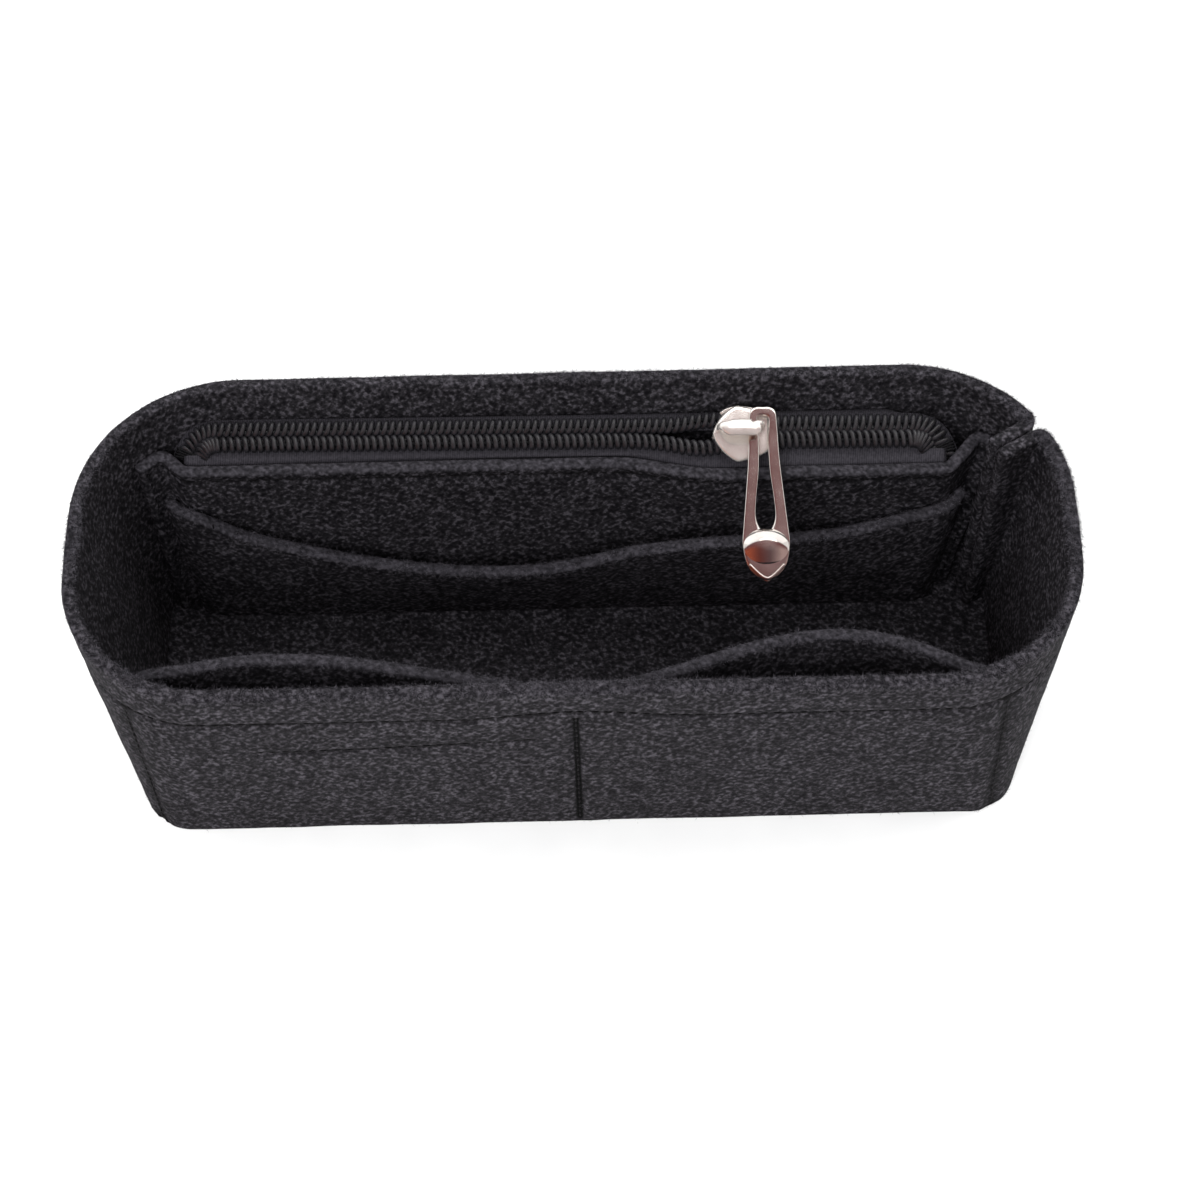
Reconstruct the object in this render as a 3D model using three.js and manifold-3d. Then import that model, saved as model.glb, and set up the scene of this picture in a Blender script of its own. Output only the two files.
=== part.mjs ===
// Felt purse organizer insert: an open tray of thick felt that stands inside a handbag.
// Two bulging pockets line its front wall, and a slip pocket is sewn to a zipped pocket at the back.
// Millimetres, +X to the right, +Y to the back, +Z up, origin at the centre of the base.

import * as THREE from 'three';
import { mergeVertices } from 'three/addons/utils/BufferGeometryUtils.js';
import Module from 'manifold-3d';

const wasm = await Module();
wasm.setup();

const { lerp, degToRad, smoothstep } = THREE.MathUtils;

// Tray
const rimLength = 221;
const rimDepth = 84.4;
const trayHeight = 75;
const endLean = 8;
const sideLean = 8.4;
const baseLength = rimLength - 2 * endLean;
const baseDepth = rimDepth - 2 * sideLean;
const rimFrontCorner = 33;
const rimBackCorner = 36;
const baseCorner = 11;
const feltThickness = 3;
const sewnGap = 0.3;

// Corner seam of the wall strip: its two ends turn inwards and lie side by side
const seamAngle = degToRad(31);
const seamBend = 1.9;
const rimSeamDepth = 13;
const baseSeamDepth = 8;

// Front pockets: one panel, sewn down in the middle and part of the way round each front corner
const frontPocketDrop = 10;
const frontPocketHeight = trayHeight - frontPocketDrop;
const leftSeamAngle = degToRad(37);
const rightSeamAngle = degToRad(27);
const sideHemAngle = degToRad(9);
const leftPocketBulge = 10.4;
const rightPocketBulge = 13.6;
const leftBulgeSkew = 0.6;
const rightBulgeSkew = 1.45;
const dividerHem = 4;

// Zip pocket: the panel's front stretch, its returns to the back wall and the flanges sewn there.
// Its corners and feet are set in from the ends of the rim and of the base.
const zipPocketDrop = 12;
const zipPocketHeight = trayHeight - zipPocketDrop;
const zipPanelFootInset = 5.9;
const zipPanelLeftInset = 16.8;
const zipPanelRightInset = 20.6;
const leftFootTopInset = 17;
const leftFootBottomInset = 10.5;
const leftCornerTopInset = 22.1;
const leftCornerBottomInset = 16.5;
const rightCornerTopInset = 25;
const rightCornerBottomInset = 21.5;
const rightFootTopInset = 17.3;
const rightFootBottomInset = 15.9;
const zipPanelFoot = baseDepth / 2 - zipPanelFootInset;
const zipPanelLeftTop = rimDepth / 2 - zipPanelLeftInset;
const zipPanelRightTop = rimDepth / 2 - zipPanelRightInset;
const leftFootTop = rimLength / 2 - leftFootTopInset;
const leftFootBottom = baseLength / 2 - leftFootBottomInset;
const leftCornerTop = rimLength / 2 - leftCornerTopInset;
const leftCornerBottom = baseLength / 2 - leftCornerBottomInset;
const rightCornerTop = rimLength / 2 - rightCornerTopInset;
const rightCornerBottom = baseLength / 2 - rightCornerBottomInset;
const rightFootTop = rimLength / 2 - rightFootTopInset;
const rightFootBottom = baseLength / 2 - rightFootBottomInset;
const zipPanelStepStart = 8;
const zipPanelStepEnd = 34;
const pocketFlange = 5;
const footFillet = 2.5;
const cornerFillet = 3;
const cornerRoom = 6;

// Slip pocket: its wavy top edge, as shares of half the rim's length and of the zip pocket's height
const slipPocketReturn = 4.5;
const slipPocketGap = 0.5;
const slipPocketBow = 7.4;
const slipEdgeShares = [
  [-0.8, 0.79],
  [-0.68, 0.66],
  [-0.57, 0.6],
  [-0.46, 0.555],
  [-0.34, 0.525],
  [-0.22, 0.51],
  [-0.07, 0.53],
  [0.07, 0.605],
  [0.18, 0.68],
  [0.3, 0.73],
  [0.46, 0.7],
  [0.56, 0.7],
  [0.64, 0.725],
  [0.78, 0.79],
];

// Zipper: the chain lies in a plane that is turned a little and tips to the front
const chainX = -1.5;
const chainInset = 10.75;
const chainY = rimDepth / 2 - chainInset;
const chainRise = 1;
const chainZ = zipPocketHeight + chainRise;
const chainSkew = degToRad(-0.9);
const chainTilt = degToRad(12.5);
const chainEndInset = 32.9;
const chainHalf = rimLength / 2 - chainEndInset;
const chainEndRadius = 6;
const chainEndSweep = degToRad(85);
const coilPitch = 1.62;
const coilTooth = 0.62;
const coilOuter = 3.6;
const coilRoot = 1.1;
const coilOverlap = 0.45;
const coilSeat = 0.5;
const coilHeight = 2.4;
const openShift = 0.25;
const noseShift = 1.45;
const partingHalf = 1.8;
const settledAhead = 16.6;
const tapeThickness = 0.6;
const tapeEdge = 1.25;
const frontTapeFlat = 4.2;
const rearTapeFlat = 4.7;
const tapeRun = 2.4;
const tapeHalf = chainHalf + tapeRun;
const frontTapeTurn = 1;
const frontTapeDrop = 7;
const rearTapeTurn = 1.5;
const rearTapeDrop = 7;
const tackLength = 1.4;
const tackRun = 0.6;
const tackClearance = 0.15;

// Slider
const sliderFromEnd = 37.6;
const sliderX = chainHalf - sliderFromEnd;
const sliderLength = 12.8;
const sliderWidth = 11.6;
const sliderPlate = 1.1;
const sliderRunningGap = 0.35;
const lowerPlateWidth = 8.6;
const channelTailHalf = 4;
const channelNoseHalf = 5.3;
const channelTailX = 1.2;
const channelNoseX = 1.8;
const wedgeTip = 5.6;
const wedgeTail = 0.6;
const wedgeHalf = 0.7;
const bridgeWidth = 5;
const bridgeThickness = 1.2;
const bridgePost = 0.8;
const tailPostX = 4.9;
const nosePostX = 4.2;
const bridgeEnd = 0.9;
const sliderOutlineShares = [
  [1, 0.78],
  [0.45, 0.93],
  [-0.1, 1],
  [-0.55, 0.87],
  [-0.87, 0.5],
  [-1, 0],
];

// Pull: a long raindrop loop with a domed bead near its pointed end
const pullLength = 42.2;
const pullThickness = 1.4;
const pullClearance = 0.3;
const pullEyeHalf = 1.4;
const pullEyeOffset = 1.1;
const pullEyeOpening = degToRad(60);
const beadX = 29.3;
const beadHalfLength = 4.6;
const beadHalfWidth = 5.1;
const beadHeight = 2.6;
const beadSink = 0.3;
const pullWidth = 10.6;
const pullOutlineShares = [
  [-0.106, 0.3],
  [-0.08, 0.55],
  [0, 0.61],
  [0.2, 0.68],
  [0.43, 0.84],
  [0.58, 0.95],
  [0.68, 1],
  [0.79, 0.84],
  [0.85, 0.5],
  [0.894, 0],
];
const pullHoleShares = [
  [0.08, 0.19],
  [0.25, 0.22],
  [0.42, 0.36],
  [0.52, 0.4],
  [0.585, 0.26],
  [0.605, 0],
];

// Sewing thread
const threadRadius = 0.4;
const threadGap = 0.2;
const rimStitchDrop = 13.5;
const rimStitchHeight = trayHeight - rimStitchDrop;
const rimStitchLift = 2.8;
const rimStitchLiftHalf = 26;
const rimStitchMarginShare = 1.5;
const lowerStitchDrop = 29;
const lowerStitchHeight = trayHeight - lowerStitchDrop;
const lowerStitchRise = 4.2;
const lowerStitchLeft = 71;
const lowerStitchRight = 9;
const seamFootHeight = 2.4;
const seamFootShare = 0.05;
const baseStitchHeight = 1.6;
const baseStitchMarginShare = 1.05;
const flangeSeamShare = 0.6;
const sideStitchInset = 4.5;
const tapeStitchDrop = 3;
const seamThreadDepth = 7;

// Counts of steps
const cornerSteps = 8;
const bendSteps = 4;
const filletSteps = 4;
const wallRows = 7;
const bulgeSteps = 18;
const frontSteps = 16;
const slipEdgeSteps = 120;
const slipRows = 5;
const tapeSteps = 14;
const threadSides = 5;
const roundSteps = 20;
const shortSeamSteps = 6;

// Materials
const felt = () => new THREE.MeshStandardMaterial({ color: 0x2e2e31, roughness: 0.95, metalness: 0 });
const thread = () => new THREE.MeshStandardMaterial({ color: 0x151516, roughness: 0.7, metalness: 0 });
const webbing = () => new THREE.MeshStandardMaterial({ color: 0x1c1c1e, roughness: 0.85, metalness: 0 });
const nylon = () => new THREE.MeshStandardMaterial({ color: 0x1a1a1c, roughness: 0.35, metalness: 0 });
const nickel = () => new THREE.MeshStandardMaterial({ color: 0xd4d0cb, roughness: 0.12, metalness: 1 });

// Tray outline: half sizes and corner radius at a rise of 0 at the base and 1 at the rim
const halfLengthAt = (rise) => lerp(baseLength, rimLength, rise) / 2;
const halfDepthAt = (rise) => lerp(baseDepth, rimDepth, rise) / 2;
const cornerAt = (rise, side) => lerp(baseCorner, side > 0 ? rimBackCorner : rimFrontCorner, rise);
const riseAt = (z) => z / trayHeight;

// A point on the arc of one corner, set in from the outer face
function cornerPoint(angle, sideX, sideY, rise, inset) {
  const radius = cornerAt(rise, sideY);
  return new THREE.Vector2(
    sideX * (halfLengthAt(rise) - radius) + (radius - inset) * Math.cos(angle),
    sideY * (halfDepthAt(rise) - radius) + (radius - inset) * Math.sin(angle),
  );
}

// The wall's depth at one x, set in from its outer face: side is 1 at the back and -1 in front
function wallY(x, z, side, inset) {
  const rise = riseAt(z);
  const radius = cornerAt(rise, side);
  const over = Math.max(0, Math.abs(x) - (halfLengthAt(rise) - radius));
  const reach = Math.sqrt((radius - inset) ** 2 - over ** 2);
  return side * (halfDepthAt(rise) - radius + reach);
}

// The angle that the seam's turn takes up on each side of the seam
function seamTurn(rise) {
  const halfFold = (feltThickness + sewnGap) / 2;
  const middle = cornerAt(rise, 1) - feltThickness / 2;
  return Math.asin((halfFold + seamBend) / (middle - seamBend));
}

// One turned-in end of the wall strip, from its tip out to the outline, on the middle surface
function seamFold(rise, sign) {
  const radius = cornerAt(rise, 1);
  const turn = seamTurn(rise);
  const outward = new THREE.Vector2(Math.cos(seamAngle), Math.sin(seamAngle));
  const along = new THREE.Vector2(-outward.y, outward.x).multiplyScalar(sign);
  const centre = new THREE.Vector2(halfLengthAt(rise) - radius, halfDepthAt(rise) - radius);
  const place = (out, side) => centre.clone().addScaledVector(outward, out).addScaledVector(along, side);
  const reach = radius - feltThickness / 2 - seamBend;
  const bendOut = reach * Math.cos(turn);
  const bendSide = reach * Math.sin(turn);
  const points = [place(radius - lerp(baseSeamDepth, rimSeamDepth, rise), bendSide - seamBend)];
  for (let step = 0; step <= bendSteps; step += 1) {
    const angle = lerp(-Math.PI / 2, turn, step / bendSteps);
    points.push(place(bendOut + seamBend * Math.cos(angle), bendSide + seamBend * Math.sin(angle)));
  }
  return points;
}

// The outline, anticlockwise from one side of the corner seam round to the other
function outlineRun(rise, inset, margin) {
  const corners = [
    [1, 1, seamAngle + margin, Math.PI / 2],
    [-1, 1, Math.PI / 2, Math.PI],
    [-1, -1, Math.PI, Math.PI * 1.5],
    [1, -1, Math.PI * 1.5, Math.PI * 2],
    [1, 1, 0, seamAngle - margin],
  ];
  const points = [];
  for (const [sideX, sideY, first, last] of corners) {
    for (let step = 0; step <= cornerSteps; step += 1) {
      const angle = lerp(first, last, step / cornerSteps);
      points.push(cornerPoint(angle, sideX, sideY, rise, inset));
    }
  }
  return points;
}

// The whole wall strip in plan, on its middle surface, from one turned-in end to the other
function wallPath(rise) {
  const run = outlineRun(rise, feltThickness / 2, seamTurn(rise));
  const start = seamFold(rise, 1);
  const end = seamFold(rise, -1).reverse();
  return [...start.slice(0, -1), ...run, ...end.slice(1)];
}

// A closed mesh from a list of points and of triangles
function meshGeometry(points, triangles) {
  const geometry = new THREE.BufferGeometry();
  const coordinates = points.flatMap((point) => point.toArray());
  geometry.setAttribute('position', new THREE.Float32BufferAttribute(coordinates, 3));
  geometry.setIndex(triangles);
  geometry.computeVertexNormals();
  return geometry;
}

// The way across a standing sheet: level, and square to the row it is in
function levelAcross(rows, column, row) {
  const line = rows[row];
  const before = line[Math.max(0, column - 1)];
  const after = line[Math.min(line.length - 1, column + 1)];
  return new THREE.Vector3(before.y - after.y, after.x - before.x, 0).normalize();
}

// The way across a bent sheet: square to both its rows and its columns
function squareAcross(rows, column, row) {
  const along = new THREE.Vector3().subVectors(
    rows[row][Math.min(rows[row].length - 1, column + 1)],
    rows[row][Math.max(0, column - 1)],
  );
  const up = new THREE.Vector3().subVectors(
    rows[Math.min(rows.length - 1, row + 1)][column],
    rows[Math.max(0, row - 1)][column],
  );
  return up.cross(along).normalize();
}

// A sheet of even thickness round a grid of middle points: rows run up, columns run along
function sheetGeometry(rows, thickness, across = levelAcross) {
  const columns = rows[0].length;
  const faces = [1, -1].map((side) => rows.flatMap((line, row) => line.map(
    (point, column) => point.clone().addScaledVector(across(rows, column, row), side * thickness / 2),
  )));
  const left = (column, row) => row * columns + column;
  const right = (column, row) => left(column, row) + rows.length * columns;
  const triangles = [];
  const quad = (a, b, c, d) => triangles.push(a, b, c, a, c, d);
  const last = columns - 1;
  const top = rows.length - 1;
  for (let row = 0; row < top; row += 1) {
    for (let column = 0; column < last; column += 1) {
      quad(right(column, row), right(column + 1, row), right(column + 1, row + 1), right(column, row + 1));
      quad(left(column, row + 1), left(column + 1, row + 1), left(column + 1, row), left(column, row));
    }
    quad(left(0, row), right(0, row), right(0, row + 1), left(0, row + 1));
    quad(right(last, row), left(last, row), left(last, row + 1), right(last, row + 1));
  }
  for (let column = 0; column < last; column += 1) {
    quad(left(column, 0), left(column + 1, 0), right(column + 1, 0), right(column, 0));
    quad(right(column, top), right(column + 1, top), left(column + 1, top), left(column, top));
  }
  return meshGeometry(faces.flat(), triangles);
}

// A run of thread: a round tube through the points, with reference as a direction square to the run
function threadGeometry(points, reference) {
  const rings = points.map((point, step) => {
    const before = points[Math.max(0, step - 1)];
    const after = points[Math.min(points.length - 1, step + 1)];
    const along = new THREE.Vector3().subVectors(after, before).normalize();
    const first = reference.clone().addScaledVector(along, -reference.dot(along)).normalize();
    const second = new THREE.Vector3().crossVectors(along, first);
    return Array.from({ length: threadSides }, (_, side) => {
      const angle = (2 * Math.PI * side) / threadSides;
      return point.clone()
        .addScaledVector(first, threadRadius * Math.cos(angle))
        .addScaledVector(second, threadRadius * Math.sin(angle));
    });
  });
  const triangles = [];
  const corner = (step, side) => step * threadSides + (side % threadSides);
  const end = points.length - 1;
  for (let side = 0; side < threadSides; side += 1) {
    for (let step = 0; step < end; step += 1) {
      triangles.push(corner(step, side), corner(step, side + 1), corner(step + 1, side + 1));
      triangles.push(corner(step, side), corner(step + 1, side + 1), corner(step + 1, side));
    }
    if (side > 0 && side < threadSides - 1) {
      triangles.push(corner(0, 0), corner(0, side + 1), corner(0, side));
      triangles.push(corner(end, 0), corner(end, side), corner(end, side + 1));
    }
  }
  return meshGeometry(rings.flat(), triangles);
}

const upward = new THREE.Vector3(0, 0, 1);
const forward = new THREE.Vector3(0, -1, 0);
const threadInset = -(threadRadius + threadGap);

// Solids for joining and cutting
function toSolid(geometry) {
  const bare = geometry.clone();
  bare.deleteAttribute('normal');
  bare.deleteAttribute('uv');
  const merged = mergeVertices(bare);
  const corners = merged.index.array;
  const triangles = [];
  for (let start = 0; start < corners.length; start += 3) {
    const [a, b, c] = corners.slice(start, start + 3);
    if (a !== b && b !== c && c !== a) triangles.push(a, b, c);
  }
  return new wasm.Manifold(new wasm.Mesh({
    numProp: 3,
    vertProperties: new Float32Array(merged.attributes.position.array),
    triVerts: new Uint32Array(triangles),
  }));
}

function fromSolid(solid) {
  const mesh = solid.getMesh();
  const geometry = new THREE.BufferGeometry();
  geometry.setAttribute('position', new THREE.BufferAttribute(mesh.vertProperties, 3));
  geometry.setIndex(new THREE.BufferAttribute(mesh.triVerts, 1));
  geometry.computeVertexNormals();
  return geometry;
}

// A flat plate of one outline between two heights
function plateGeometry(shape, low, high) {
  const geometry = new THREE.ExtrudeGeometry(shape, {
    depth: high - low,
    bevelEnabled: false,
    curveSegments: roundSteps,
  });
  return geometry.translate(0, 0, low);
}

function boxGeometry(low, high) {
  const size = new THREE.Vector3().subVectors(high, low);
  const middle = new THREE.Vector3().addVectors(high, low).divideScalar(2);
  return new THREE.BoxGeometry(size.x, size.y, size.z).translate(middle.x, middle.y, middle.z);
}

// Replaces the marked corners of a path by arcs of their own radius
function filletPath(corners) {
  return corners.flatMap(({ point, radius }, index) => {
    if (!radius) return [point];
    const toBefore = corners[index - 1].point.clone().sub(point).normalize();
    const toAfter = corners[index + 1].point.clone().sub(point).normalize();
    const halfAngle = Math.acos(THREE.MathUtils.clamp(toBefore.dot(toAfter), -1, 1)) / 2;
    const setBack = radius / Math.tan(halfAngle);
    const first = point.clone().addScaledVector(toBefore, setBack);
    const last = point.clone().addScaledVector(toAfter, setBack);
    const arc = new THREE.QuadraticBezierCurve(first, point, last);
    return arc.getPoints(filletSteps);
  });
}

// Base: a flat sheet that fits inside the foot of the wall strip and round its turned-in ends
function makeBase() {
  const path = wallPath(0);
  const line = path.map((point) => new THREE.Vector3(point.x, point.y, 0));
  const inside = path.map((point, column) => {
    const across = levelAcross([line], column, 0);
    const reach = feltThickness / 2 + sewnGap;
    return new THREE.Vector2(point.x + across.x * reach, point.y + across.y * reach);
  });
  const inward = new THREE.Vector2(-Math.cos(seamAngle), -Math.sin(seamAngle)).multiplyScalar(sewnGap);
  const beyond = [inside.at(-1), inside[0]].map((point) => point.clone().add(inward));
  return plateGeometry(new THREE.Shape([...inside, ...beyond]), 0, feltThickness);
}

// Wall: one strip wrapped round the base, leaning out towards the rim
function makeWall() {
  const rows = Array.from({ length: wallRows }, (_, row) => {
    const rise = row / (wallRows - 1);
    return wallPath(rise).map((point) => new THREE.Vector3(point.x, point.y, rise * trayHeight));
  });
  return sheetGeometry(rows, feltThickness);
}

const panelFootHeight = feltThickness + sewnGap;
const sewnInset = feltThickness + sewnGap + feltThickness / 2;

// How far a front pocket stands off the wall between its seams, as a share of the full bulge
function bulgeShare(x, from, to, skew) {
  const share = THREE.MathUtils.clamp((x - from) / (to - from), 0, 1);
  return Math.sin(Math.PI * share ** skew);
}

// A point on a side seam of the front pockets: side is -1 left and 1 right, turned on by turn
function sideSeamPoint(side, z, inset, turn = 0) {
  const seam = (side < 0 ? leftSeamAngle : rightSeamAngle) + turn;
  return cornerPoint(side * seam - Math.PI / 2, side, -1, riseAt(z), inset);
}

function frontPanelY(x, z) {
  const leftSeam = sideSeamPoint(-1, z, sewnInset).x;
  const rightSeam = sideSeamPoint(1, z, sewnInset).x;
  const left = leftPocketBulge * bulgeShare(x, leftSeam, -dividerHem, leftBulgeSkew);
  const right = rightPocketBulge * bulgeShare(x, 0, rightSeam, rightBulgeSkew);
  const share = (z - panelFootHeight) / (frontPocketHeight - panelFootHeight);
  return wallY(x, z, -1, sewnInset) + share * (left + right);
}

// Front pocket panel: one sheet that bulges twice into the tray
function makeFrontPocket() {
  const rows = Array.from({ length: wallRows }, (_, row) => {
    const z = lerp(panelFootHeight, frontPocketHeight, row / (wallRows - 1));
    const leftSeam = sideSeamPoint(-1, z, sewnInset).x;
    const rightSeam = sideSeamPoint(1, z, sewnInset).x;
    const line = [sideSeamPoint(-1, z, sewnInset, sideHemAngle).x];
    for (let step = 0; step <= bulgeSteps; step += 1) {
      line.push(lerp(leftSeam, -dividerHem, step / bulgeSteps));
    }
    for (let step = 0; step <= bulgeSteps; step += 1) {
      line.push(lerp(0, rightSeam, step / bulgeSteps));
    }
    line.push(sideSeamPoint(1, z, sewnInset, sideHemAngle).x);
    return line.map((x) => new THREE.Vector3(x, frontPanelY(x, z), z));
  });
  return sheetGeometry(rows, feltThickness);
}

const zipShare = (z) => (z - panelFootHeight) / (zipPocketHeight - panelFootHeight);

const leftCornerAt = (z) => lerp(leftCornerBottom, leftCornerTop, zipShare(z));
const rightCornerAt = (z) => lerp(rightCornerBottom, rightCornerTop, zipShare(z));

// Middle surface of the zip pocket's front stretch
function zipPanelY(x, z) {
  const top = lerp(zipPanelLeftTop, zipPanelRightTop, smoothstep(x, zipPanelStepStart, zipPanelStepEnd));
  return lerp(zipPanelFoot, top, zipShare(z));
}

// Feet, corners and front stretch of the zip pocket in plan at one height
function zipCorners(z) {
  const share = zipShare(z);
  const onWall = (x) => new THREE.Vector2(x, wallY(x, z, 1, sewnInset));
  const onFront = (x) => new THREE.Vector2(x, zipPanelY(x, z));
  const firstX = cornerRoom - leftCornerAt(z);
  const lastX = rightCornerAt(z) - cornerRoom;
  return {
    onWall,
    leftFoot: onWall(-lerp(leftFootBottom, leftFootTop, share)),
    leftCorner: onFront(-leftCornerAt(z)),
    front: Array.from({ length: frontSteps + 1 }, (_, step) => ({
      point: onFront(lerp(firstX, lastX, step / frontSteps)),
    })),
    rightCorner: onFront(rightCornerAt(z)),
    rightFoot: onWall(lerp(rightFootBottom, rightFootTop, share)),
  };
}

// The zip pocket in plan at one height, from the left flange round to the right flange
function zipPanelPath(z) {
  const { onWall, leftFoot, leftCorner, front, rightCorner, rightFoot } = zipCorners(z);
  return filletPath([
    { point: onWall(leftFoot.x - pocketFlange) },
    { point: onWall(leftFoot.x - pocketFlange / 2) },
    { point: leftFoot, radius: footFillet },
    { point: leftCorner, radius: cornerFillet },
    ...front,
    { point: rightCorner, radius: cornerFillet },
    { point: rightFoot, radius: footFillet },
    { point: onWall(rightFoot.x + pocketFlange / 2) },
    { point: onWall(rightFoot.x + pocketFlange) },
  ]);
}

// Zip pocket: one sheet, bent back to the wall at both ends
function makeZipPocket() {
  const rows = Array.from({ length: wallRows }, (_, row) => {
    const z = lerp(panelFootHeight, zipPocketHeight, row / (wallRows - 1));
    return zipPanelPath(z).map((point) => new THREE.Vector3(point.x, point.y, z));
  });
  return sheetGeometry(rows, feltThickness);
}

const slipEdge = new THREE.SplineCurve(slipEdgeShares.map(([alongShare, heightShare]) => (
  new THREE.Vector2((alongShare * rimLength) / 2, heightShare * zipPocketHeight)
)));

// Height of the slip pocket's top edge at one x, read off the edge curve
function slipEdgeZ(x) {
  const samples = slipEdge.getPoints(slipEdgeSteps);
  const next = samples.findIndex((sample) => sample.x >= x);
  if (next < 0) return samples.at(-1).y;
  if (next === 0) return samples[0].y;
  const before = samples[next - 1];
  const after = samples[next];
  return lerp(before.y, after.y, (x - before.x) / (after.x - before.x));
}

// How far the slip pocket stands off the zip pocket, most at the middle of its top edge
function slipBow(x, z) {
  const left = -leftCornerAt(z);
  const right = rightCornerAt(z);
  const acrossShare = THREE.MathUtils.clamp((x - left) / (right - left), 0, 1);
  const upShare = (z - panelFootHeight) / (slipEdgeZ(x) - panelFootHeight);
  return slipPocketBow * Math.sin(Math.PI * acrossShare) * upShare;
}

// The stretch of the zip pocket that the slip pocket lies on, with the start of each return
function slipPath(z) {
  const { leftFoot, leftCorner, front, rightCorner, rightFoot } = zipCorners(z);
  const onReturn = (corner, foot) => (
    foot.clone().sub(corner).setLength(slipPocketReturn).add(corner)
  );
  return filletPath([
    { point: onReturn(leftCorner, leftFoot) },
    { point: leftCorner, radius: cornerFillet },
    ...front,
    { point: rightCorner, radius: cornerFillet },
    { point: onReturn(rightCorner, rightFoot) },
  ]).map((point) => new THREE.Vector3(point.x, point.y, z));
}

// Slip pocket: one sheet with a wavy top edge, sewn round the front of the zip pocket
function makeSlipPocket() {
  const edge = slipPath(zipPocketHeight);
  const rows = Array.from({ length: slipRows }, (_, row) => edge.map((place, column) => {
    const z = lerp(panelFootHeight, slipEdgeZ(place.x), row / (slipRows - 1));
    const line = slipPath(z);
    const point = line[column];
    const across = levelAcross([line], column, 0);
    point.addScaledVector(across, -feltThickness - slipPocketGap);
    point.y -= slipBow(point.x, z);
    return point;
  }));
  return sheetGeometry(rows, feltThickness);
}

// The chain's own frame: x along the zipper, y across it to the back, z square to its plane
const chainGroup = new THREE.Group();
chainGroup.position.set(chainX, chainY, chainZ);
chainGroup.rotation.set(chainTilt, 0, chainSkew, 'ZYX');
chainGroup.updateMatrixWorld(true);
const chainPoint = (x, y) => new THREE.Vector3(x, y, 0).applyMatrix4(chainGroup.matrixWorld);

const tapeSeat = sewnGap + tapeThickness / 2;

// Front tape: from the coil to the pocket's panel and down behind it
function makeFrontTape() {
  const rows = [tapeEdge, frontTapeFlat].map((y) => tapeLine((x) => chainPoint(x, -y)));
  const behindPanel = (x, drop) => {
    const world = chainPoint(x, -frontTapeFlat);
    const z = zipPocketHeight - drop;
    return new THREE.Vector3(world.x, zipPanelY(world.x, z) + feltThickness / 2 + tapeSeat, z);
  };
  rows.push(tapeLine((x) => behindPanel(x, frontTapeTurn)));
  rows.push(tapeLine((x) => behindPanel(x, frontTapeDrop)));
  return sheetGeometry(rows, tapeThickness, squareAcross);
}

// Rear tape: from the coil to the back wall and down against it
function makeRearTape() {
  const rows = [tapeEdge, rearTapeFlat].map((y) => tapeLine((x) => chainPoint(x, y)));
  const onWall = (x, drop) => {
    const world = chainPoint(x, rearTapeFlat);
    const z = world.z - drop;
    return new THREE.Vector3(world.x, wallY(world.x, z, 1, feltThickness + tapeSeat), z);
  };
  rows.push(tapeLine((x) => onWall(x, rearTapeTurn)));
  rows.push(tapeLine((x) => onWall(x, rearTapeDrop)));
  return sheetGeometry(rows, tapeThickness, squareAcross);
}

function tapeLine(pointAt) {
  return Array.from({ length: tapeSteps + 1 }, (_, step) => (
    pointAt(lerp(-tapeHalf, tapeHalf, step / tapeSteps))
  ));
}

// A point of the chain's plan, a distance along it and a distance to its side
function chainPlan(distance, side) {
  const past = Math.max(0, Math.abs(distance) - chainHalf);
  const angle = past / chainEndRadius;
  const straight = Math.min(Math.abs(distance), chainHalf);
  const reach = chainEndRadius + side;
  return new THREE.Vector2(
    Math.sign(distance) * (straight + reach * Math.sin(angle)),
    reach * Math.cos(angle) - chainEndRadius,
  );
}

// How far each coil stands off the closed chain: apart at the slider's nose, loose beyond it
function coilShift(distance) {
  const ahead = sliderX - distance;
  const parted = smoothstep(ahead, -partingHalf, partingHalf);
  const settled = smoothstep(ahead, sliderLength / 2, settledAhead);
  return lerp(noseShift * parted, openShift, settled);
}

// One coil: a bar with a row of interlocking heads
function makeCoil(side) {
  const reach = chainHalf + chainEndRadius * chainEndSweep;
  const count = Math.floor(reach / coilPitch - 1);
  const place = (distance, across) => (
    chainPlan(distance, side * (across + coilShift(distance)))
  );
  const points = [];
  for (let tooth = -count; tooth <= count; tooth += 2) {
    points.push(place(tooth * coilPitch, coilOuter));
  }
  const shift = side > 0 ? coilPitch / 2 : 0;
  for (let tooth = count - 1; tooth > -count; tooth -= 1) {
    const middle = tooth * coilPitch + shift;
    points.push(place(middle + coilTooth / 2, coilRoot));
    points.push(place(middle + coilTooth / 2, -coilOverlap));
    points.push(place(middle - coilTooth / 2, -coilOverlap));
    points.push(place(middle - coilTooth / 2, coilRoot));
  }
  return plateGeometry(new THREE.Shape(points), coilSeat, coilSeat + coilHeight);
}

// End tack: a staple of thread that holds both coils together at the end of the chain
function makeTack() {
  const half = coilOuter + openShift + tackClearance;
  const low = tapeThickness / 2 + threadGap;
  const top = coilSeat + coilHeight + tackClearance;
  const shape = new THREE.Shape([
    new THREE.Vector2(-half - tackRun, low),
    new THREE.Vector2(-half, low),
    new THREE.Vector2(-half, top),
    new THREE.Vector2(half, top),
    new THREE.Vector2(half, low),
    new THREE.Vector2(half + tackRun, low),
    new THREE.Vector2(half + tackRun, top + tackRun),
    new THREE.Vector2(-half - tackRun, top + tackRun),
  ]);
  const bar = plateGeometry(shape, -tackLength / 2, tackLength / 2);
  return bar.rotateX(Math.PI / 2).rotateZ(Math.PI / 2);
}

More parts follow.
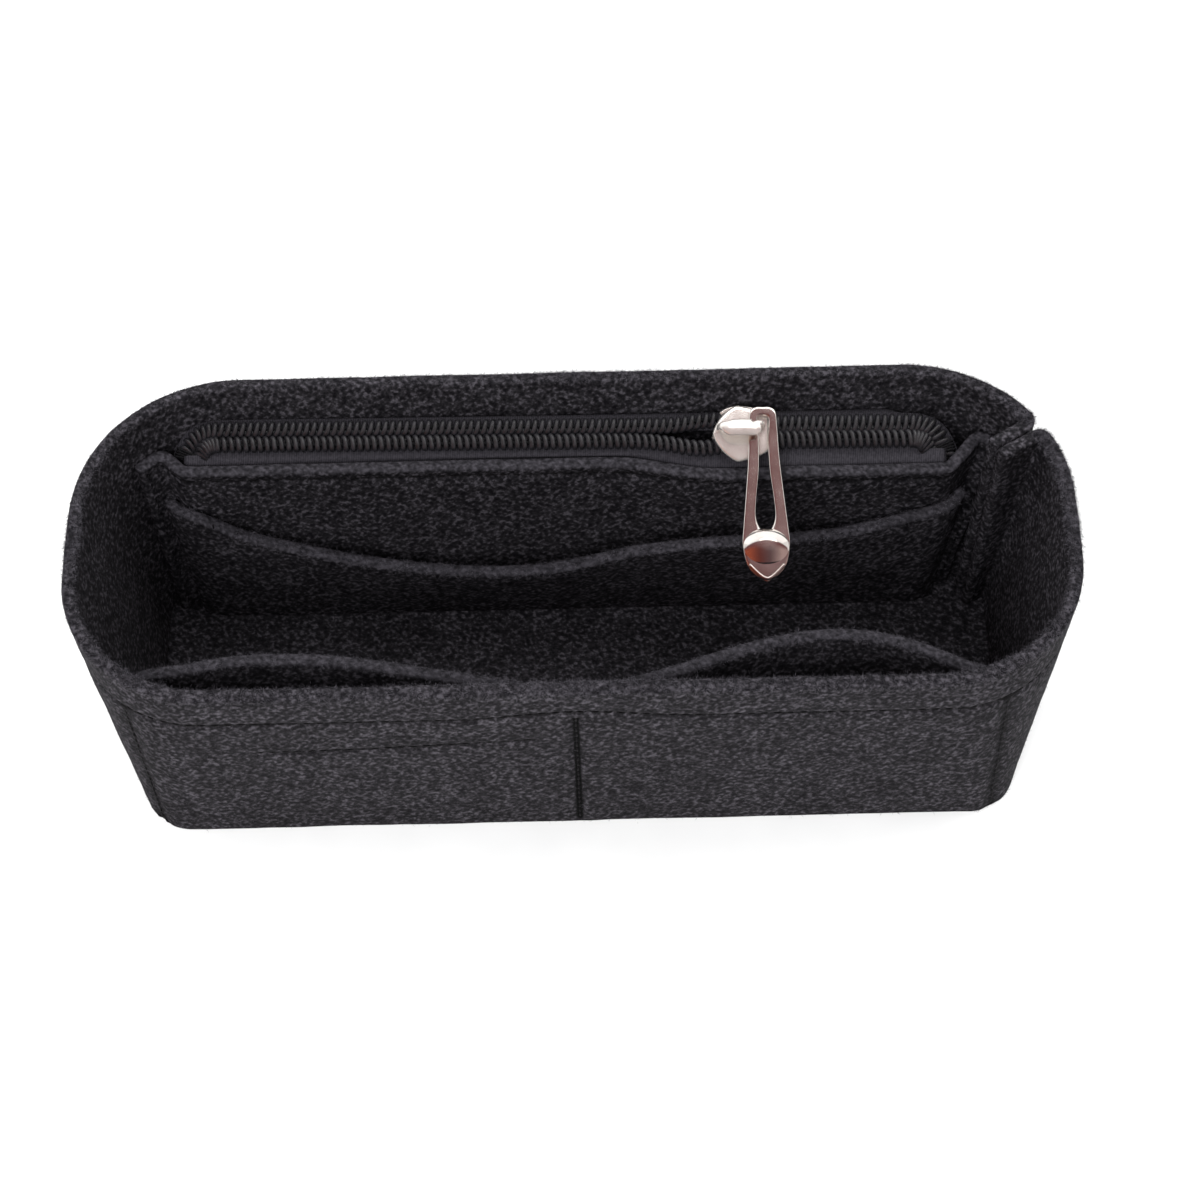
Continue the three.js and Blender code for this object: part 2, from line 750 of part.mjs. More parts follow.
// A closed outline from one edge given as shares, mirrored across the x axis
function mirroredShape(shares, length, width) {
  const side = new THREE.SplineCurve(shares.map(([alongShare, acrossShare]) => (
    new THREE.Vector2(alongShare * length, acrossShare * width)
  ))).getPoints(roundSteps);
  const other = side.slice(0, -1).reverse().map((point) => new THREE.Vector2(point.x, -point.y));
  return new THREE.Shape([...side, ...other]);
}

const plateLow = coilSeat + coilHeight + sliderRunningGap;
const plateTop = plateLow + sliderPlate;
const pullLow = plateTop + pullClearance;
const bridgeLow = pullLow + pullThickness + pullClearance;
const bridgeTop = bridgeLow + bridgeThickness;
const lowerTop = -tapeThickness / 2 - sliderRunningGap;

// Slider: upper plate with side flanges, lower plate, wedge between the coils, and the bridge
function makeSlider() {
  const flangeLow = tapeThickness / 2 + sliderRunningGap;
  const upper = mirroredShape(sliderOutlineShares, sliderLength / 2, sliderWidth / 2);
  const block = plateGeometry(upper, flangeLow, plateTop);
  const past = sliderLength;
  const channel = new THREE.Shape([
    new THREE.Vector2(past, -channelTailHalf),
    new THREE.Vector2(past, channelTailHalf),
    new THREE.Vector2(channelTailX, channelTailHalf),
    new THREE.Vector2(-channelNoseX, channelNoseHalf),
    new THREE.Vector2(-past, channelNoseHalf),
    new THREE.Vector2(-past, -channelNoseHalf),
    new THREE.Vector2(-channelNoseX, -channelNoseHalf),
    new THREE.Vector2(channelTailX, -channelTailHalf),
  ]);
  const hollow = plateGeometry(channel, lowerTop, plateLow);
  const lower = mirroredShape(sliderOutlineShares, sliderLength / 2, lowerPlateWidth / 2);
  const wedge = new THREE.Shape([
    new THREE.Vector2(-wedgeTail, 0),
    new THREE.Vector2(-wedgeTip / 2, wedgeHalf),
    new THREE.Vector2(-wedgeTip, wedgeHalf / 2),
    new THREE.Vector2(-wedgeTip, -wedgeHalf / 2),
    new THREE.Vector2(-wedgeTip / 2, -wedgeHalf),
  ]);
  const middlePlate = (plateLow + plateTop) / 2;
  const middleLower = lowerTop - sliderPlate / 2;
  const halfBridge = bridgeWidth / 2;
  const bridge = boxGeometry(
    new THREE.Vector3(-nosePostX - bridgeEnd, -halfBridge, bridgeLow),
    new THREE.Vector3(tailPostX + bridgeEnd, halfBridge, bridgeTop),
  );
  const posts = [-nosePostX, tailPostX].map((x) => {
    const height = (bridgeLow + bridgeTop) / 2 - middlePlate;
    const post = new THREE.CylinderGeometry(bridgePost, bridgePost, height, roundSteps);
    return post.rotateX(Math.PI / 2).translate(x, 0, middlePlate + height / 2);
  });
  let solid = toSolid(block).subtract(toSolid(hollow));
  solid = solid.add(toSolid(plateGeometry(lower, lowerTop - sliderPlate, lowerTop)));
  solid = solid.add(toSolid(plateGeometry(wedge, middleLower, middlePlate)));
  solid = solid.add(toSolid(bridge));
  for (const post of posts) {
    solid = solid.add(toSolid(post));
  }
  return fromSolid(solid);
}

// Pull: its length runs along -y from the eye, which goes round the bridge's tail post
function makePull() {
  const outline = mirroredShape(pullOutlineShares, pullLength, pullWidth / 2);
  const slot = new THREE.Path();
  const holeSide = pullHoleShares.map(([alongShare, acrossShare]) => (
    new THREE.Vector2(alongShare * pullLength, (acrossShare * pullWidth) / 2)
  ));
  const eye = new THREE.EllipseCurve(
    -pullEyeOffset, 0, pullEyeHalf, pullEyeHalf, -pullEyeOpening, pullEyeOpening, true,
  ).getPoints(bendSteps * 2);
  const side = new THREE.SplineCurve(holeSide).getPoints(roundSteps);
  const mirrored = side.slice(0, -1).reverse().map((point) => new THREE.Vector2(point.x, -point.y));
  slot.setFromPoints([...side, ...mirrored, ...eye].reverse());
  outline.holes.push(slot);
  const plate = plateGeometry(outline, pullLow, pullLow + pullThickness);
  const profile = Array.from({ length: bendSteps * 2 + 1 }, (_, step) => {
    const angle = lerp(0, Math.PI / 2, step / (bendSteps * 2));
    return new THREE.Vector2(Math.cos(angle), Math.sin(angle));
  });
  profile[profile.length - 1].x = 0;
  const dome = new THREE.LatheGeometry([new THREE.Vector2(0, 0), ...profile], roundSteps)
    .rotateX(Math.PI / 2)
    .scale(beadHalfLength, beadHalfWidth, beadHeight)
    .translate(beadX, 0, pullLow + pullThickness - beadSink);
  return fromSolid(toSolid(plate).add(toSolid(dome))).rotateZ(-Math.PI / 2);
}

// Topstitch round the rim, lifted a little in the middle of the front
function makeRimStitch() {
  const rise = riseAt(rimStitchHeight);
  const margin = seamTurn(rise) * rimStitchMarginShare;
  const points = outlineRun(rise, threadInset, margin)
    .map((point) => new THREE.Vector3(point.x, point.y, rimStitchHeight));
  const frontStart = points.findIndex((point, index) => (
    index > cornerSteps * 3 && point.x < 0 && points[index + 1].x > 0
  ));
  const lifted = [];
  for (let step = 1; step < shortSeamSteps * 2; step += 1) {
    const x = lerp(-rimStitchLiftHalf, rimStitchLiftHalf, step / (shortSeamSteps * 2));
    const lift = rimStitchLift * (0.5 + Math.cos((Math.PI * x) / rimStitchLiftHalf) / 2);
    const z = rimStitchHeight + lift;
    lifted.push(new THREE.Vector3(x, wallY(x, z, -1, threadInset), z));
  }
  points.splice(frontStart + 1, 0, ...lifted);
  return threadGeometry(points, upward);
}

// Second row on the left half of the front, rising to the right
function makeLowerStitch() {
  const points = Array.from({ length: shortSeamSteps + 1 }, (_, step) => {
    const share = step / shortSeamSteps;
    const x = lerp(-lowerStitchLeft, -lowerStitchRight, share);
    const z = lowerStitchHeight + lowerStitchRise * share ** 2;
    return new THREE.Vector3(x, wallY(x, z, -1, threadInset), z);
  });
  return threadGeometry(points, upward);
}

// Stitching that holds the wall strip to the edge of the base
function makeBaseStitch() {
  const rise = riseAt(baseStitchHeight);
  const points = outlineRun(rise, threadInset, seamTurn(rise) * baseStitchMarginShare)
    .map((point) => new THREE.Vector3(point.x, point.y, baseStitchHeight));
  return threadGeometry(points, upward);
}

// Upright seam between the two front pockets
function makeDividerSeam() {
  const points = [seamFootHeight, frontPocketHeight - seamFootHeight].map((z) => (
    new THREE.Vector3(0, wallY(0, z, -1, threadInset), z)
  ));
  return threadGeometry(points, forward);
}

// Upright seam at one side of the front pockets
function makeSideSeam(side) {
  const points = [seamFootHeight, rimStitchHeight - seamFootHeight].map((z) => {
    const place = sideSeamPoint(side, z, threadInset);
    return new THREE.Vector3(place.x, place.y, z);
  });
  return threadGeometry(points, forward);
}

// Upright seam through the two turned-in ends, on the side that faces the tray
function makeWallSeam() {
  const outward = new THREE.Vector2(Math.cos(seamAngle), Math.sin(seamAngle));
  const along = new THREE.Vector2(outward.y, -outward.x);
  const points = [seamFootHeight + feltThickness, trayHeight - seamFootHeight].map((z) => {
    const rise = riseAt(z);
    const radius = cornerAt(rise, 1);
    const out = radius - seamThreadDepth;
    const side = feltThickness + sewnGap / 2 - threadInset;
    return new THREE.Vector3(
      halfLengthAt(rise) - radius + outward.x * out + along.x * side,
      halfDepthAt(rise) - radius + outward.y * out + along.y * side,
      z,
    );
  });
  return threadGeometry(points, new THREE.Vector3(along.x, along.y, 0));
}

// Upright seam at one side of the slip pocket: side is -1 left and 1 right
function makeSlipSeam(side) {
  const edgeX = side < 0 ? -leftCornerTop : rightCornerTop;
  const points = Array.from({ length: shortSeamSteps + 1 }, (_, step) => {
    const share = lerp(seamFootShare, 1 - seamFootShare, step / shortSeamSteps);
    const z = lerp(panelFootHeight, slipEdgeZ(edgeX), share);
    const x = (side < 0 ? -leftCornerAt(z) : rightCornerAt(z)) - side * sideStitchInset;
    const off = feltThickness * 1.5 + slipPocketGap - threadInset + slipBow(x, z);
    return new THREE.Vector3(x, zipPanelY(x, z) - off, z);
  });
  return threadGeometry(points, forward);
}

// Upright seam through one flange of the zip pocket, into the back wall
function makeFlangeSeam(sign, footTop, footBottom) {
  const low = panelFootHeight + seamFootHeight;
  const high = zipPocketHeight - seamFootHeight;
  const points = Array.from({ length: shortSeamSteps + 1 }, (_, step) => {
    const z = lerp(low, high, step / shortSeamSteps);
    const x = sign * (lerp(footBottom, footTop, zipShare(z)) + pocketFlange * flangeSeamShare);
    return new THREE.Vector3(x, wallY(x, z, 1, sewnInset + feltThickness / 2 - threadInset), z);
  });
  return threadGeometry(points, forward);
}

// Stitching through the zip pocket's top edge and the front tape
function makeFrontTapeStitch() {
  const z = zipPocketHeight - tapeStitchDrop;
  const first = -leftCornerTop + cornerRoom;
  const last = rightCornerTop - cornerRoom;
  const points = Array.from({ length: frontSteps + 1 }, (_, step) => {
    const x = lerp(first, last, step / frontSteps);
    return new THREE.Vector3(x, zipPanelY(x, z) - feltThickness / 2 + threadInset, z);
  });
  return threadGeometry(points, upward);
}

// Stitching through the back wall into the rear tape, on the outside
function makeRearTapeStitch() {
  const points = tapeLine((x) => {
    const world = chainPoint(x, rearTapeFlat);
    const z = world.z - (rearTapeTurn + rearTapeDrop) / 2;
    return new THREE.Vector3(world.x, wallY(world.x, z, 1, threadInset), z);
  });
  return threadGeometry(points, upward);
}

// Assembly
const organizer = new THREE.Group();

function addPart(parent, name, geometry, material) {
  const mesh = new THREE.Mesh(geometry, material);
  mesh.name = name;
  parent.add(mesh);
  return mesh;
}

addPart(organizer, 'base_panel', makeBase(), felt());
addPart(organizer, 'wall_band', makeWall(), felt());
addPart(organizer, 'front_pocket_panel', makeFrontPocket(), felt());
addPart(organizer, 'zip_pocket_panel', makeZipPocket(), felt());
addPart(organizer, 'slip_pocket_panel', makeSlipPocket(), felt());

addPart(organizer, 'zipper_tape_front', makeFrontTape(), webbing());
addPart(organizer, 'zipper_tape_rear', makeRearTape(), webbing());

organizer.add(chainGroup);
addPart(chainGroup, 'zipper_coil_front', makeCoil(-1), nylon());
addPart(chainGroup, 'zipper_coil_rear', makeCoil(1), nylon());
for (const [name, sign] of [['zipper_tack_left', -1], ['zipper_tack_right', 1]]) {
  const tack = addPart(chainGroup, name, makeTack(), thread());
  const curled = chainEndRadius * chainEndSweep - tackLength;
  const place = chainPlan(sign * (chainHalf + curled), 0);
  tack.position.set(place.x, place.y, 0);
  tack.rotation.z = (-sign * curled) / chainEndRadius;
}

const sliderGroup = new THREE.Group();
sliderGroup.position.x = sliderX;
chainGroup.add(sliderGroup);
addPart(sliderGroup, 'slider_body', makeSlider(), nickel());
const pull = addPart(sliderGroup, 'slider_pull', makePull(), nickel());
pull.position.x = tailPostX;

addPart(organizer, 'rim_topstitch', makeRimStitch(), thread());
addPart(organizer, 'lower_topstitch', makeLowerStitch(), thread());
addPart(organizer, 'base_stitch', makeBaseStitch(), thread());
addPart(organizer, 'wall_corner_seam', makeWallSeam(), thread());
addPart(organizer, 'front_divider_seam', makeDividerSeam(), thread());
addPart(organizer, 'front_left_seam', makeSideSeam(-1), thread());
addPart(organizer, 'front_right_seam', makeSideSeam(1), thread());
addPart(organizer, 'slip_left_seam', makeSlipSeam(-1), thread());
addPart(organizer, 'slip_right_seam', makeSlipSeam(1), thread());
addPart(organizer, 'zip_left_seam', makeFlangeSeam(-1, leftFootTop, leftFootBottom), thread());
addPart(organizer, 'zip_right_seam', makeFlangeSeam(1, rightFootTop, rightFootBottom), thread());
addPart(organizer, 'front_tape_stitch', makeFrontTapeStitch(), thread());
addPart(organizer, 'rear_tape_stitch', makeRearTapeStitch(), thread());

export default organizer;
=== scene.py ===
import math

import bpy
import numpy as np
from mathutils import Matrix, Vector


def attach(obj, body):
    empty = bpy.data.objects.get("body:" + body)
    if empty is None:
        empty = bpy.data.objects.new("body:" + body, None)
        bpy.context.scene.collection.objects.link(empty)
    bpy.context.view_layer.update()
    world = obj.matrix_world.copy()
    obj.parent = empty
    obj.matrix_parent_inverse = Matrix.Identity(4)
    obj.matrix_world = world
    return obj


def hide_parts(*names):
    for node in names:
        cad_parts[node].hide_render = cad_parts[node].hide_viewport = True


bl_info = {
    "name": "Felt purse organizer",
    "version": (1, 0, 0),
    "blender": (4, 5, 0),
    "location": "3D Viewport > Sidebar > Organizer",
    "description": "Builds a felt organizer insert with its pockets, zipper, slider and pull",
    "category": "Object",
}

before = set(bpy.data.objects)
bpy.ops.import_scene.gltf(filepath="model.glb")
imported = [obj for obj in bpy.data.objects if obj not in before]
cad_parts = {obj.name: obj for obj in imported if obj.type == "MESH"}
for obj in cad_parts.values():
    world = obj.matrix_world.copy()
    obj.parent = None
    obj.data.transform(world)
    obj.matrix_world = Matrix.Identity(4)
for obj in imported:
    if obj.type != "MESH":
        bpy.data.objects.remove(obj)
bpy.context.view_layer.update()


# Kinds of setting

def linear_colour(hex_colour):
    """Linear red, green and blue, and alpha 1, of an sRGB colour written as six hex digits."""
    channels = [int(hex_colour[start : start + 2], 16) / 255 for start in (0, 2, 4)]
    return [c / 12.92 if c <= 0.04045 else ((c + 0.055) / 1.055) ** 2.4 for c in channels] + [1.0]


def kind_of_setting(make, convert=None, **form):
    """A function that makes settings of one kind, each from its name, its description and its default."""
    def setting(name, description, default):
        value = convert(default) if convert else default
        return make(name=name, description=description, default=value, **form)

    return setting


number = bpy.props.FloatProperty

# Lengths are in metres, the camera's in millimetres, and powers in watts
length = kind_of_setting(number, precision=5, unit="LENGTH", subtype="DISTANCE")
camera_length = kind_of_setting(number, unit="CAMERA", subtype="DISTANCE_CAMERA")
power = kind_of_setting(number, unit="POWER")
share = kind_of_setting(number, precision=4)
count = kind_of_setting(bpy.props.IntProperty, min=0)

# Angles are given in degrees and kept in radians, colours as six hex digits and kept linear
angle = kind_of_setting(number, math.radians, unit="ROTATION", subtype="ANGLE")
colour = kind_of_setting(
    bpy.props.FloatVectorProperty, linear_colour, size=4, min=0, max=1, precision=4, subtype="COLOR"
)


def settings_of(context, *names):
    """The named groups of settings."""
    return [getattr(context.scene, "organizer_" + name) for name in names]


class TraySettings(bpy.types.PropertyGroup):
    """Sizes of the tray that the wall strip and the base make."""

    rim_length: length("Rim length", "Outer length of the rim", 0.221)
    rim_depth: length("Rim depth", "Outer depth of the rim", 0.0844)
    height: length("Height", "Height of the wall", 0.075)
    end_lean: length("End lean", "How far each end leans out from base to rim", 0.008)
    side_lean: length("Side lean", "How far the front and the back lean out", 0.0084)
    rim_front_corner: length("Front corner", "Corner radius at the rim in front", 0.033)
    rim_back_corner: length("Back corner", "Corner radius at the rim at the back", 0.036)
    base_corner: length("Base corner", "Corner radius at the base", 0.011)
    felt: length("Felt", "Thickness of the felt", 0.003)
    gap: length("Sewn gap", "Gap between two sewn layers", 0.0003)
    seam_angle: angle("Seam angle", "Where the wall strip's ends meet, from the right end", 31)
    seam_bend: length("Seam bend", "Radius of the bend at each turned-in end", 0.0019)
    rim_seam_depth: length("Seam depth at rim", "How far the ends turn in at the rim", 0.013)
    base_seam_depth: length("Seam depth at base", "How far the ends turn in at the base", 0.008)
    hair: length("Hair", "Greatest length of a loose fibre", 0.0011)
    hair_radius: length("Hair radius", "Radius of a loose fibre at its root", 0.000035)
    wall_hairs: count("Hairs on the wall", "Number of loose fibres on the wall", 40000)
    pocket_hairs: count("Hairs on a pocket", "Number of loose fibres on each open pocket", 5000)


class PocketSettings(bpy.types.PropertyGroup):
    """Sizes of the pockets inside the tray."""

    front_drop: length("Front pocket drop", "From the rim down to the front pockets", 0.01)
    left_seam: angle("Left seam", "Where the left pocket ends, round the front corner", 37)
    right_seam: angle("Right seam", "Where the right pocket ends, round the front corner", 27)
    side_hem: angle("Side hem", "How far the panel runs on past its seams", 9)
    left_bulge: length("Left bulge", "How far the left pocket stands open", 0.0104)
    right_bulge: length("Right bulge", "How far the right pocket stands open", 0.0136)
    left_skew: share("Left skew", "Below 1 moves the left bulge to the left", 0.6)
    right_skew: share("Right skew", "Above 1 moves the right bulge to the right", 1.45)
    divider_hem: length("Divider hem", "Flat stretch left of the middle seam", 0.004)
    zip_drop: length("Zip pocket drop", "From the rim down to the zip pocket", 0.012)
    zip_foot_inset: length("Zip foot inset", "From the back of the base to the zip panel", 0.0059)
    zip_left_inset: length("Zip left inset", "From the back rim to the zip panel, left", 0.0168)
    zip_right_inset: length("Zip right inset", "From the back rim to the zip panel, right", 0.0206)
    zip_step_start: length("Zip step start", "Where the zip panel begins to step back", 0.008)
    zip_step_end: length("Zip step end", "Where the zip panel's step back ends", 0.034)
    left_foot_top: length("Left foot top", "Left flange from the rim's end", 0.017)
    left_foot_base: length("Left foot base", "Left flange from the base's end", 0.0105)
    left_corner_top: length("Left corner top", "Left corner from the rim's end", 0.0221)
    left_corner_base: length("Left corner base", "Left corner from the base's end", 0.0165)
    right_corner_top: length("Right corner top", "Right corner from the rim's end", 0.025)
    right_corner_base: length("Right corner base", "Right corner from the base's end", 0.0215)
    right_foot_top: length("Right foot top", "Right flange from the rim's end", 0.0173)
    right_foot_base: length("Right foot base", "Right flange from the base's end", 0.0159)
    flange: length("Flange", "Width of the zip pocket's flanges", 0.005)
    foot_fillet: length("Foot fillet", "Bend from a flange to the zip pocket's side", 0.0025)
    corner_fillet: length("Corner fillet", "Bend from the side to the front stretch", 0.003)
    corner_room: length("Corner room", "Straight run kept beside each corner", 0.006)
    slip_return: length("Slip return", "How far the slip pocket wraps round the zip pocket's corners", 0.0045)
    slip_gap: length("Slip gap", "Gap between the slip pocket and the zip pocket", 0.0005)
    slip_bow: length("Slip bow", "How far the slip pocket stands open", 0.0074)


class ZipperSettings(bpy.types.PropertyGroup):
    """Sizes of the chain, its tapes and its end tacks."""

    x: length("Middle", "Middle of the chain along the tray", -0.0015)
    inset: length("Inset", "From the back rim to the chain's middle line", 0.01075)
    rise: length("Rise", "Height of the chain above the zip pocket", 0.001)
    skew: angle("Skew", "Turn of the chain in plan", -0.9)
    tilt: angle("Tilt", "Tilt of the chain to the front", 12.5)
    end_inset: length("End inset", "From the rim's end to where the chain bends down", 0.0314)
    end_radius: length("End radius", "Radius of the bend at each end", 0.006)
    end_sweep: angle("End sweep", "How far each end bends round", 84)
    end_dip: length("End dip", "How far the ends of the bends go down", 0.0042)
    closed_spread: share("Closed spread", "How much wider the chain lies where it is closed", 0.2)
    pitch: length("Pitch", "Length of one tooth and one gap", 0.00162)
    outer: length("Outer", "From the middle line to the coil's outer edge", 0.0036)
    overlap: length("Overlap", "How far the heads reach past the middle line", 0.00045)
    seat: length("Seat", "Height of the coil's underside over the tape's middle", 0.0005)
    coil_height: length("Coil height", "Height of the coil", 0.0024)
    filament: length("Filament", "Radius of the coil's filament", 0.0006)
    open_shift: length("Settled shift", "Gap of each open coil far from the slider", 0.00025)
    nose_shift: length("Nose shift", "Gap of each coil at the slider's nose", 0.00145)
    front_dip: length("Front dip", "How much further the front coil bows out", 0.0012)
    settled_ahead: length("Settled ahead", "Distance over which the coils come together", 0.0166)
    tape: length("Tape", "Thickness of the tapes", 0.0006)
    tape_edge: length("Tape edge", "From the middle line to the tape's inner edge", 0.00125)
    front_flat: length("Front flat", "From the middle line to the front tape's bend", 0.0042)
    rear_flat: length("Rear flat", "From the middle line to the rear tape's bend", 0.0047)
    tape_run: length("Tape run", "How far the rear tape runs on past the chain", 0.0009)
    front_run: length("Front run", "How far the front tape runs on past the chain", 0.0076)
    front_turn: length("Front turn", "Drop of the front tape to its bend", 0.001)
    front_drop: length("Front drop", "Drop of the front tape's lower edge", 0.007)
    rear_turn: length("Rear turn", "Drop of the rear tape to its bend", 0.0015)
    rear_drop: length("Rear drop", "Drop of the rear tape's lower edge", 0.007)
    tack_length: length("Tack length", "Length of an end tack along the chain", 0.0014)


class SliderSettings(bpy.types.PropertyGroup):
    """Sizes of the slider and its pull."""

    from_end: length("From end", "From the chain's right bend to the slider", 0.0391)
    size_x: length("Length", "Length of the slider", 0.0128)
    size_y: length("Width", "Width of the slider over its sides", 0.0116)
    cover: length("Cover width", "Width of the rounded cover on top", 0.0134)
    plate: length("Plate", "Thickness of both plates", 0.0011)
    running_gap: length("Running gap", "Gap between the slider and the chain", 0.00035)
    lower_width: length("Lower width", "Width of the lower plate", 0.0086)
    bridge_width: length("Bridge width", "Width of the bridge", 0.0041)
    bridge_lean: share("Bridge lean", "Slope of the bridge's top to the back", 0.1)
    forward: length("Forward", "How far the cover and the bridge sit in front of the chain's middle", 0.0012)
    bridge: length("Bridge", "Thickness of the bridge", 0.0012)
    tail_post: length("Tail post", "Place of the post at the closed side", 0.0049)
    nose_post: length("Nose post", "Place of the post at the open side", 0.0042)
    post: length("Post", "Radius of the posts", 0.0008)
    pull_length: length("Pull length", "Length that the pull's shares are taken of", 0.0422)
    pull_width: length("Pull width", "Greatest width of the pull", 0.0106)
    pull_plate: length("Pull thickness", "Thickness of the pull", 0.0014)
    pull_gap: length("Pull gap", "Gap above and below the pull", 0.0003)
    bead_x: length("Bead place", "From the post to the bead", 0.0293)
    bead_half_length: length("Bead half length", "Half length of the bead", 0.0043)
    bead_half_width: length("Bead half width", "Half width of the bead", 0.0051)
    bead_height: length("Bead height", "Height of the bead over the pull", 0.0017)


class StitchSettings(bpy.types.PropertyGroup):
    """Sizes and places of the stitches."""

    thread: length("Thread", "Radius of the sewing thread", 0.00024)
    pitch: length("Pitch", "Length of one stitch and its gap", 0.0028)
    gap: length("Gap", "Gap between two stitches", 0.0006)
    groove: length("Groove", "Depth of the groove that a seam presses into the felt", 0.0004)
    groove_width: length("Groove width", "Half the width of a seam's groove", 0.001)
    rim_drop: length("Rim stitch drop", "From the rim down to the upper stitch line", 0.0135)
    rim_lift: length("Rim stitch lift", "Lift of the upper line in the middle of the front", 0.0028)
    rim_lift_half: length("Rim lift half", "Half the width of the upper line's lift", 0.026)
    lower_drop: length("Lower drop", "From the rim down to the lower stitch line", 0.029)
    lower_rise: length("Lower rise", "Rise of the lower line to the right", 0.0042)
    lower_left: length("Lower left", "Left end of the lower line from the middle", 0.071)
    lower_right: length("Lower right", "Right end of the lower line from the middle", 0.009)
    foot: length("Foot", "Height where upright seams begin", 0.0024)
    base_height: length("Base stitch", "Height of the stitches round the base", 0.0016)
    side_inset: length("Side inset", "From the slip pocket's corner to its seam", 0.0045)
    tape_drop: length("Tape stitch drop", "From the zip pocket's edge to its stitches", 0.003)


class ColourSettings(bpy.types.PropertyGroup):
    """Colours of every material, each as the two or more tones that it runs between."""

    felt_deep: colour("Felt, deepest", "Deepest fibres of the felt", "161519")
    felt_dark: colour("Felt, dark", "Dark fibres of the felt", "242326")
    felt_middle: colour("Felt, middle", "Middle fibres of the felt", "312f33")
    felt_light: colour("Felt, light", "Lightest fibres of the felt", "524f55")
    # Tones of the cut top edges: partly the cut fibres, partly painted light on edges that face up to the
    # lamps
    cut_dark: colour("Cut edge, dark", "Dark fibres of a cut edge", "1b1a1d")
    cut_light: colour("Cut edge, light", "Light fibres of a cut edge", "38363b")
    # Painted shade: the groove that a seam presses in is drawn nearly black, for the shade in the crease
    seam: colour("Seam", "Felt that a seam presses in", "060607")
    hair_dark: colour("Hair, dark", "Dark loose fibres", "232226")
    hair_light: colour("Hair, light", "Light loose fibres", "625f66")
    thread_dark: colour("Thread, dark", "Hollows of the sewing thread", "060607")
    thread_light: colour("Thread, light", "Strands of the sewing thread", "151517")
    tape_dark: colour("Tape, dark", "Hollows between the tape's ribs", "1d1c20")
    tape_light: colour("Tape, light", "The tape's ribs", "343237")
    nylon_dark: colour("Nylon, dark", "Darkest stretches of the filament", "111113")
    nylon_light: colour("Nylon, light", "Lightest stretches of the filament", "222125")
    nickel_dark: colour("Nickel, dark", "Dull patches of the plate", "e6ded8")
    nickel_light: colour("Nickel, light", "Bright patches of the plate", "f4efe9")
    floor_dark: colour("Floor, dark", "Darker patches of the floor", "eeeeee")
    floor_light: colour("Floor, light", "Lighter patches of the floor", "f4f4f4")


class StageSettings(bpy.types.PropertyGroup):
    """Camera, floor and lights."""

    distance: length("Distance", "From the camera to the tray's middle", 0.6)
    elevation: angle("Elevation", "Camera above the horizon", 58)
    roll: angle("Roll", "Turn of the camera about its own axis", -1.3)
    lens: camera_length("Lens", "Focal length", 78)
    sensor: camera_length("Sensor", "Width of the sensor", 36)
    aim_x_share: share("Aim share", "Side shift of the target as a share of the focal length", -25 / 2600)
    aim_y: length("Aim depth", "The target in depth", 0.0042)
    aim_z: length("Aim height", "The target in height", 0.0375)
    floor: length("Floor", "Side of the square floor", 4.0)
    room_light: share("Room light", "Strength of the white light from all round", 0.87)
    key_power: power("Key light", "Power of the soft light from the front left", 19.5)
    top_power: power("Top light", "Power of the soft light from above", 10.5)
    card_width: length("Card width", "Width of both cards that the metal reflects", 3.2)


# Edge curves as ratios of the sizes that they belong to

SLIP_EDGE_SHARES = (
    (-0.8, 0.79), (-0.68, 0.66), (-0.57, 0.6), (-0.46, 0.555), (-0.34, 0.525), (-0.22, 0.51), (-0.07, 0.53),
    (0.07, 0.605), (0.18, 0.68), (0.3, 0.73), (0.46, 0.7), (0.56, 0.7), (0.64, 0.725), (0.78, 0.79),
)
SLIDER_OUTLINE_SHARES = ((1, 0.78), (0.45, 0.93), (-0.1, 1), (-0.55, 0.87), (-0.87, 0.5), (-1, 0))
SLIDER_COVER_SHARES = ((1, 0.62), (0.6, 0.84), (0.1, 0.98), (-0.2, 1), (-0.6, 0.7), (-0.88, 0.32), (-1, 0))
PULL_OUTLINE_SHARES = (
    (-0.106, 0), (-0.106, 0.3), (-0.08, 0.55), (0, 0.61), (0.2, 0.68), (0.43, 0.84), (0.58, 0.95), (0.68, 1),
    (0.79, 0.84), (0.85, 0.5), (0.894, 0),
)
PULL_HOLE_SHARES = (
    (-0.059, 0), (-0.045, 0.23), (0.01, 0.23), (0.08, 0.19), (0.25, 0.22), (0.42, 0.36), (0.52, 0.4),
    (0.585, 0.26), (0.605, 0),
)
PULL_RIDGE_SHARES = ((0.8, -0.36), (0.875, 0), (0.8, 0.36))

# Fineness of the meshes
GRID_STEP = 0.0011
EDGE_STEPS = 6
THREAD_SIDES = 8
STITCH_RINGS = 9
STITCH_SIDES = 6
COIL_STEPS = 22

# Shapes of cut edges, and how the grid crowds at a seam
EDGE_POWER = 2.6
EDGE_SHARE = 0.42
CROWDING = 1.4

# Share of a felt piece's hairs that are on its cut top edge
EDGE_HAIRS = 0.6

# Lamps by place and size, the point that they face, and the cards' rear and front edges in depth and height
KEY_LAMP = ((-0.35, -0.9, 1.1), (0.9, 0.7))
TOP_LAMP = ((0.2, 0.35, 1.3), (1.0, 0.8))
LIT_POINT = (0, 0, 0.04)
HOOD_EDGES = ((0.27, 0.7), (-0.9, -0.05))
WHITE_EDGES = ((1.1, 0.4), (0.6, 1.3))
# Painted reflections: the glow of the hood card, seen only in the metal, in the brown and grey tones that the
# pull reflects
HOOD_TONES = ((0.36, "9a4f3a"), (0.47, "683a35"), (0.54, "5f4a4c"), (0.66, "a8908d"))
HOOD_BACK_TONE = "6c4445"

# Directions
FRONT = (0, -1.0, 0)
BACK = (0, 1.0, 0)
RIGHT = (1.0, 0, 0)
UP = (0, 0, 1.0)


# Numbers

def lerp(first, last, part):
    """The value a part of the way from first to last."""
    return first + (last - first) * part


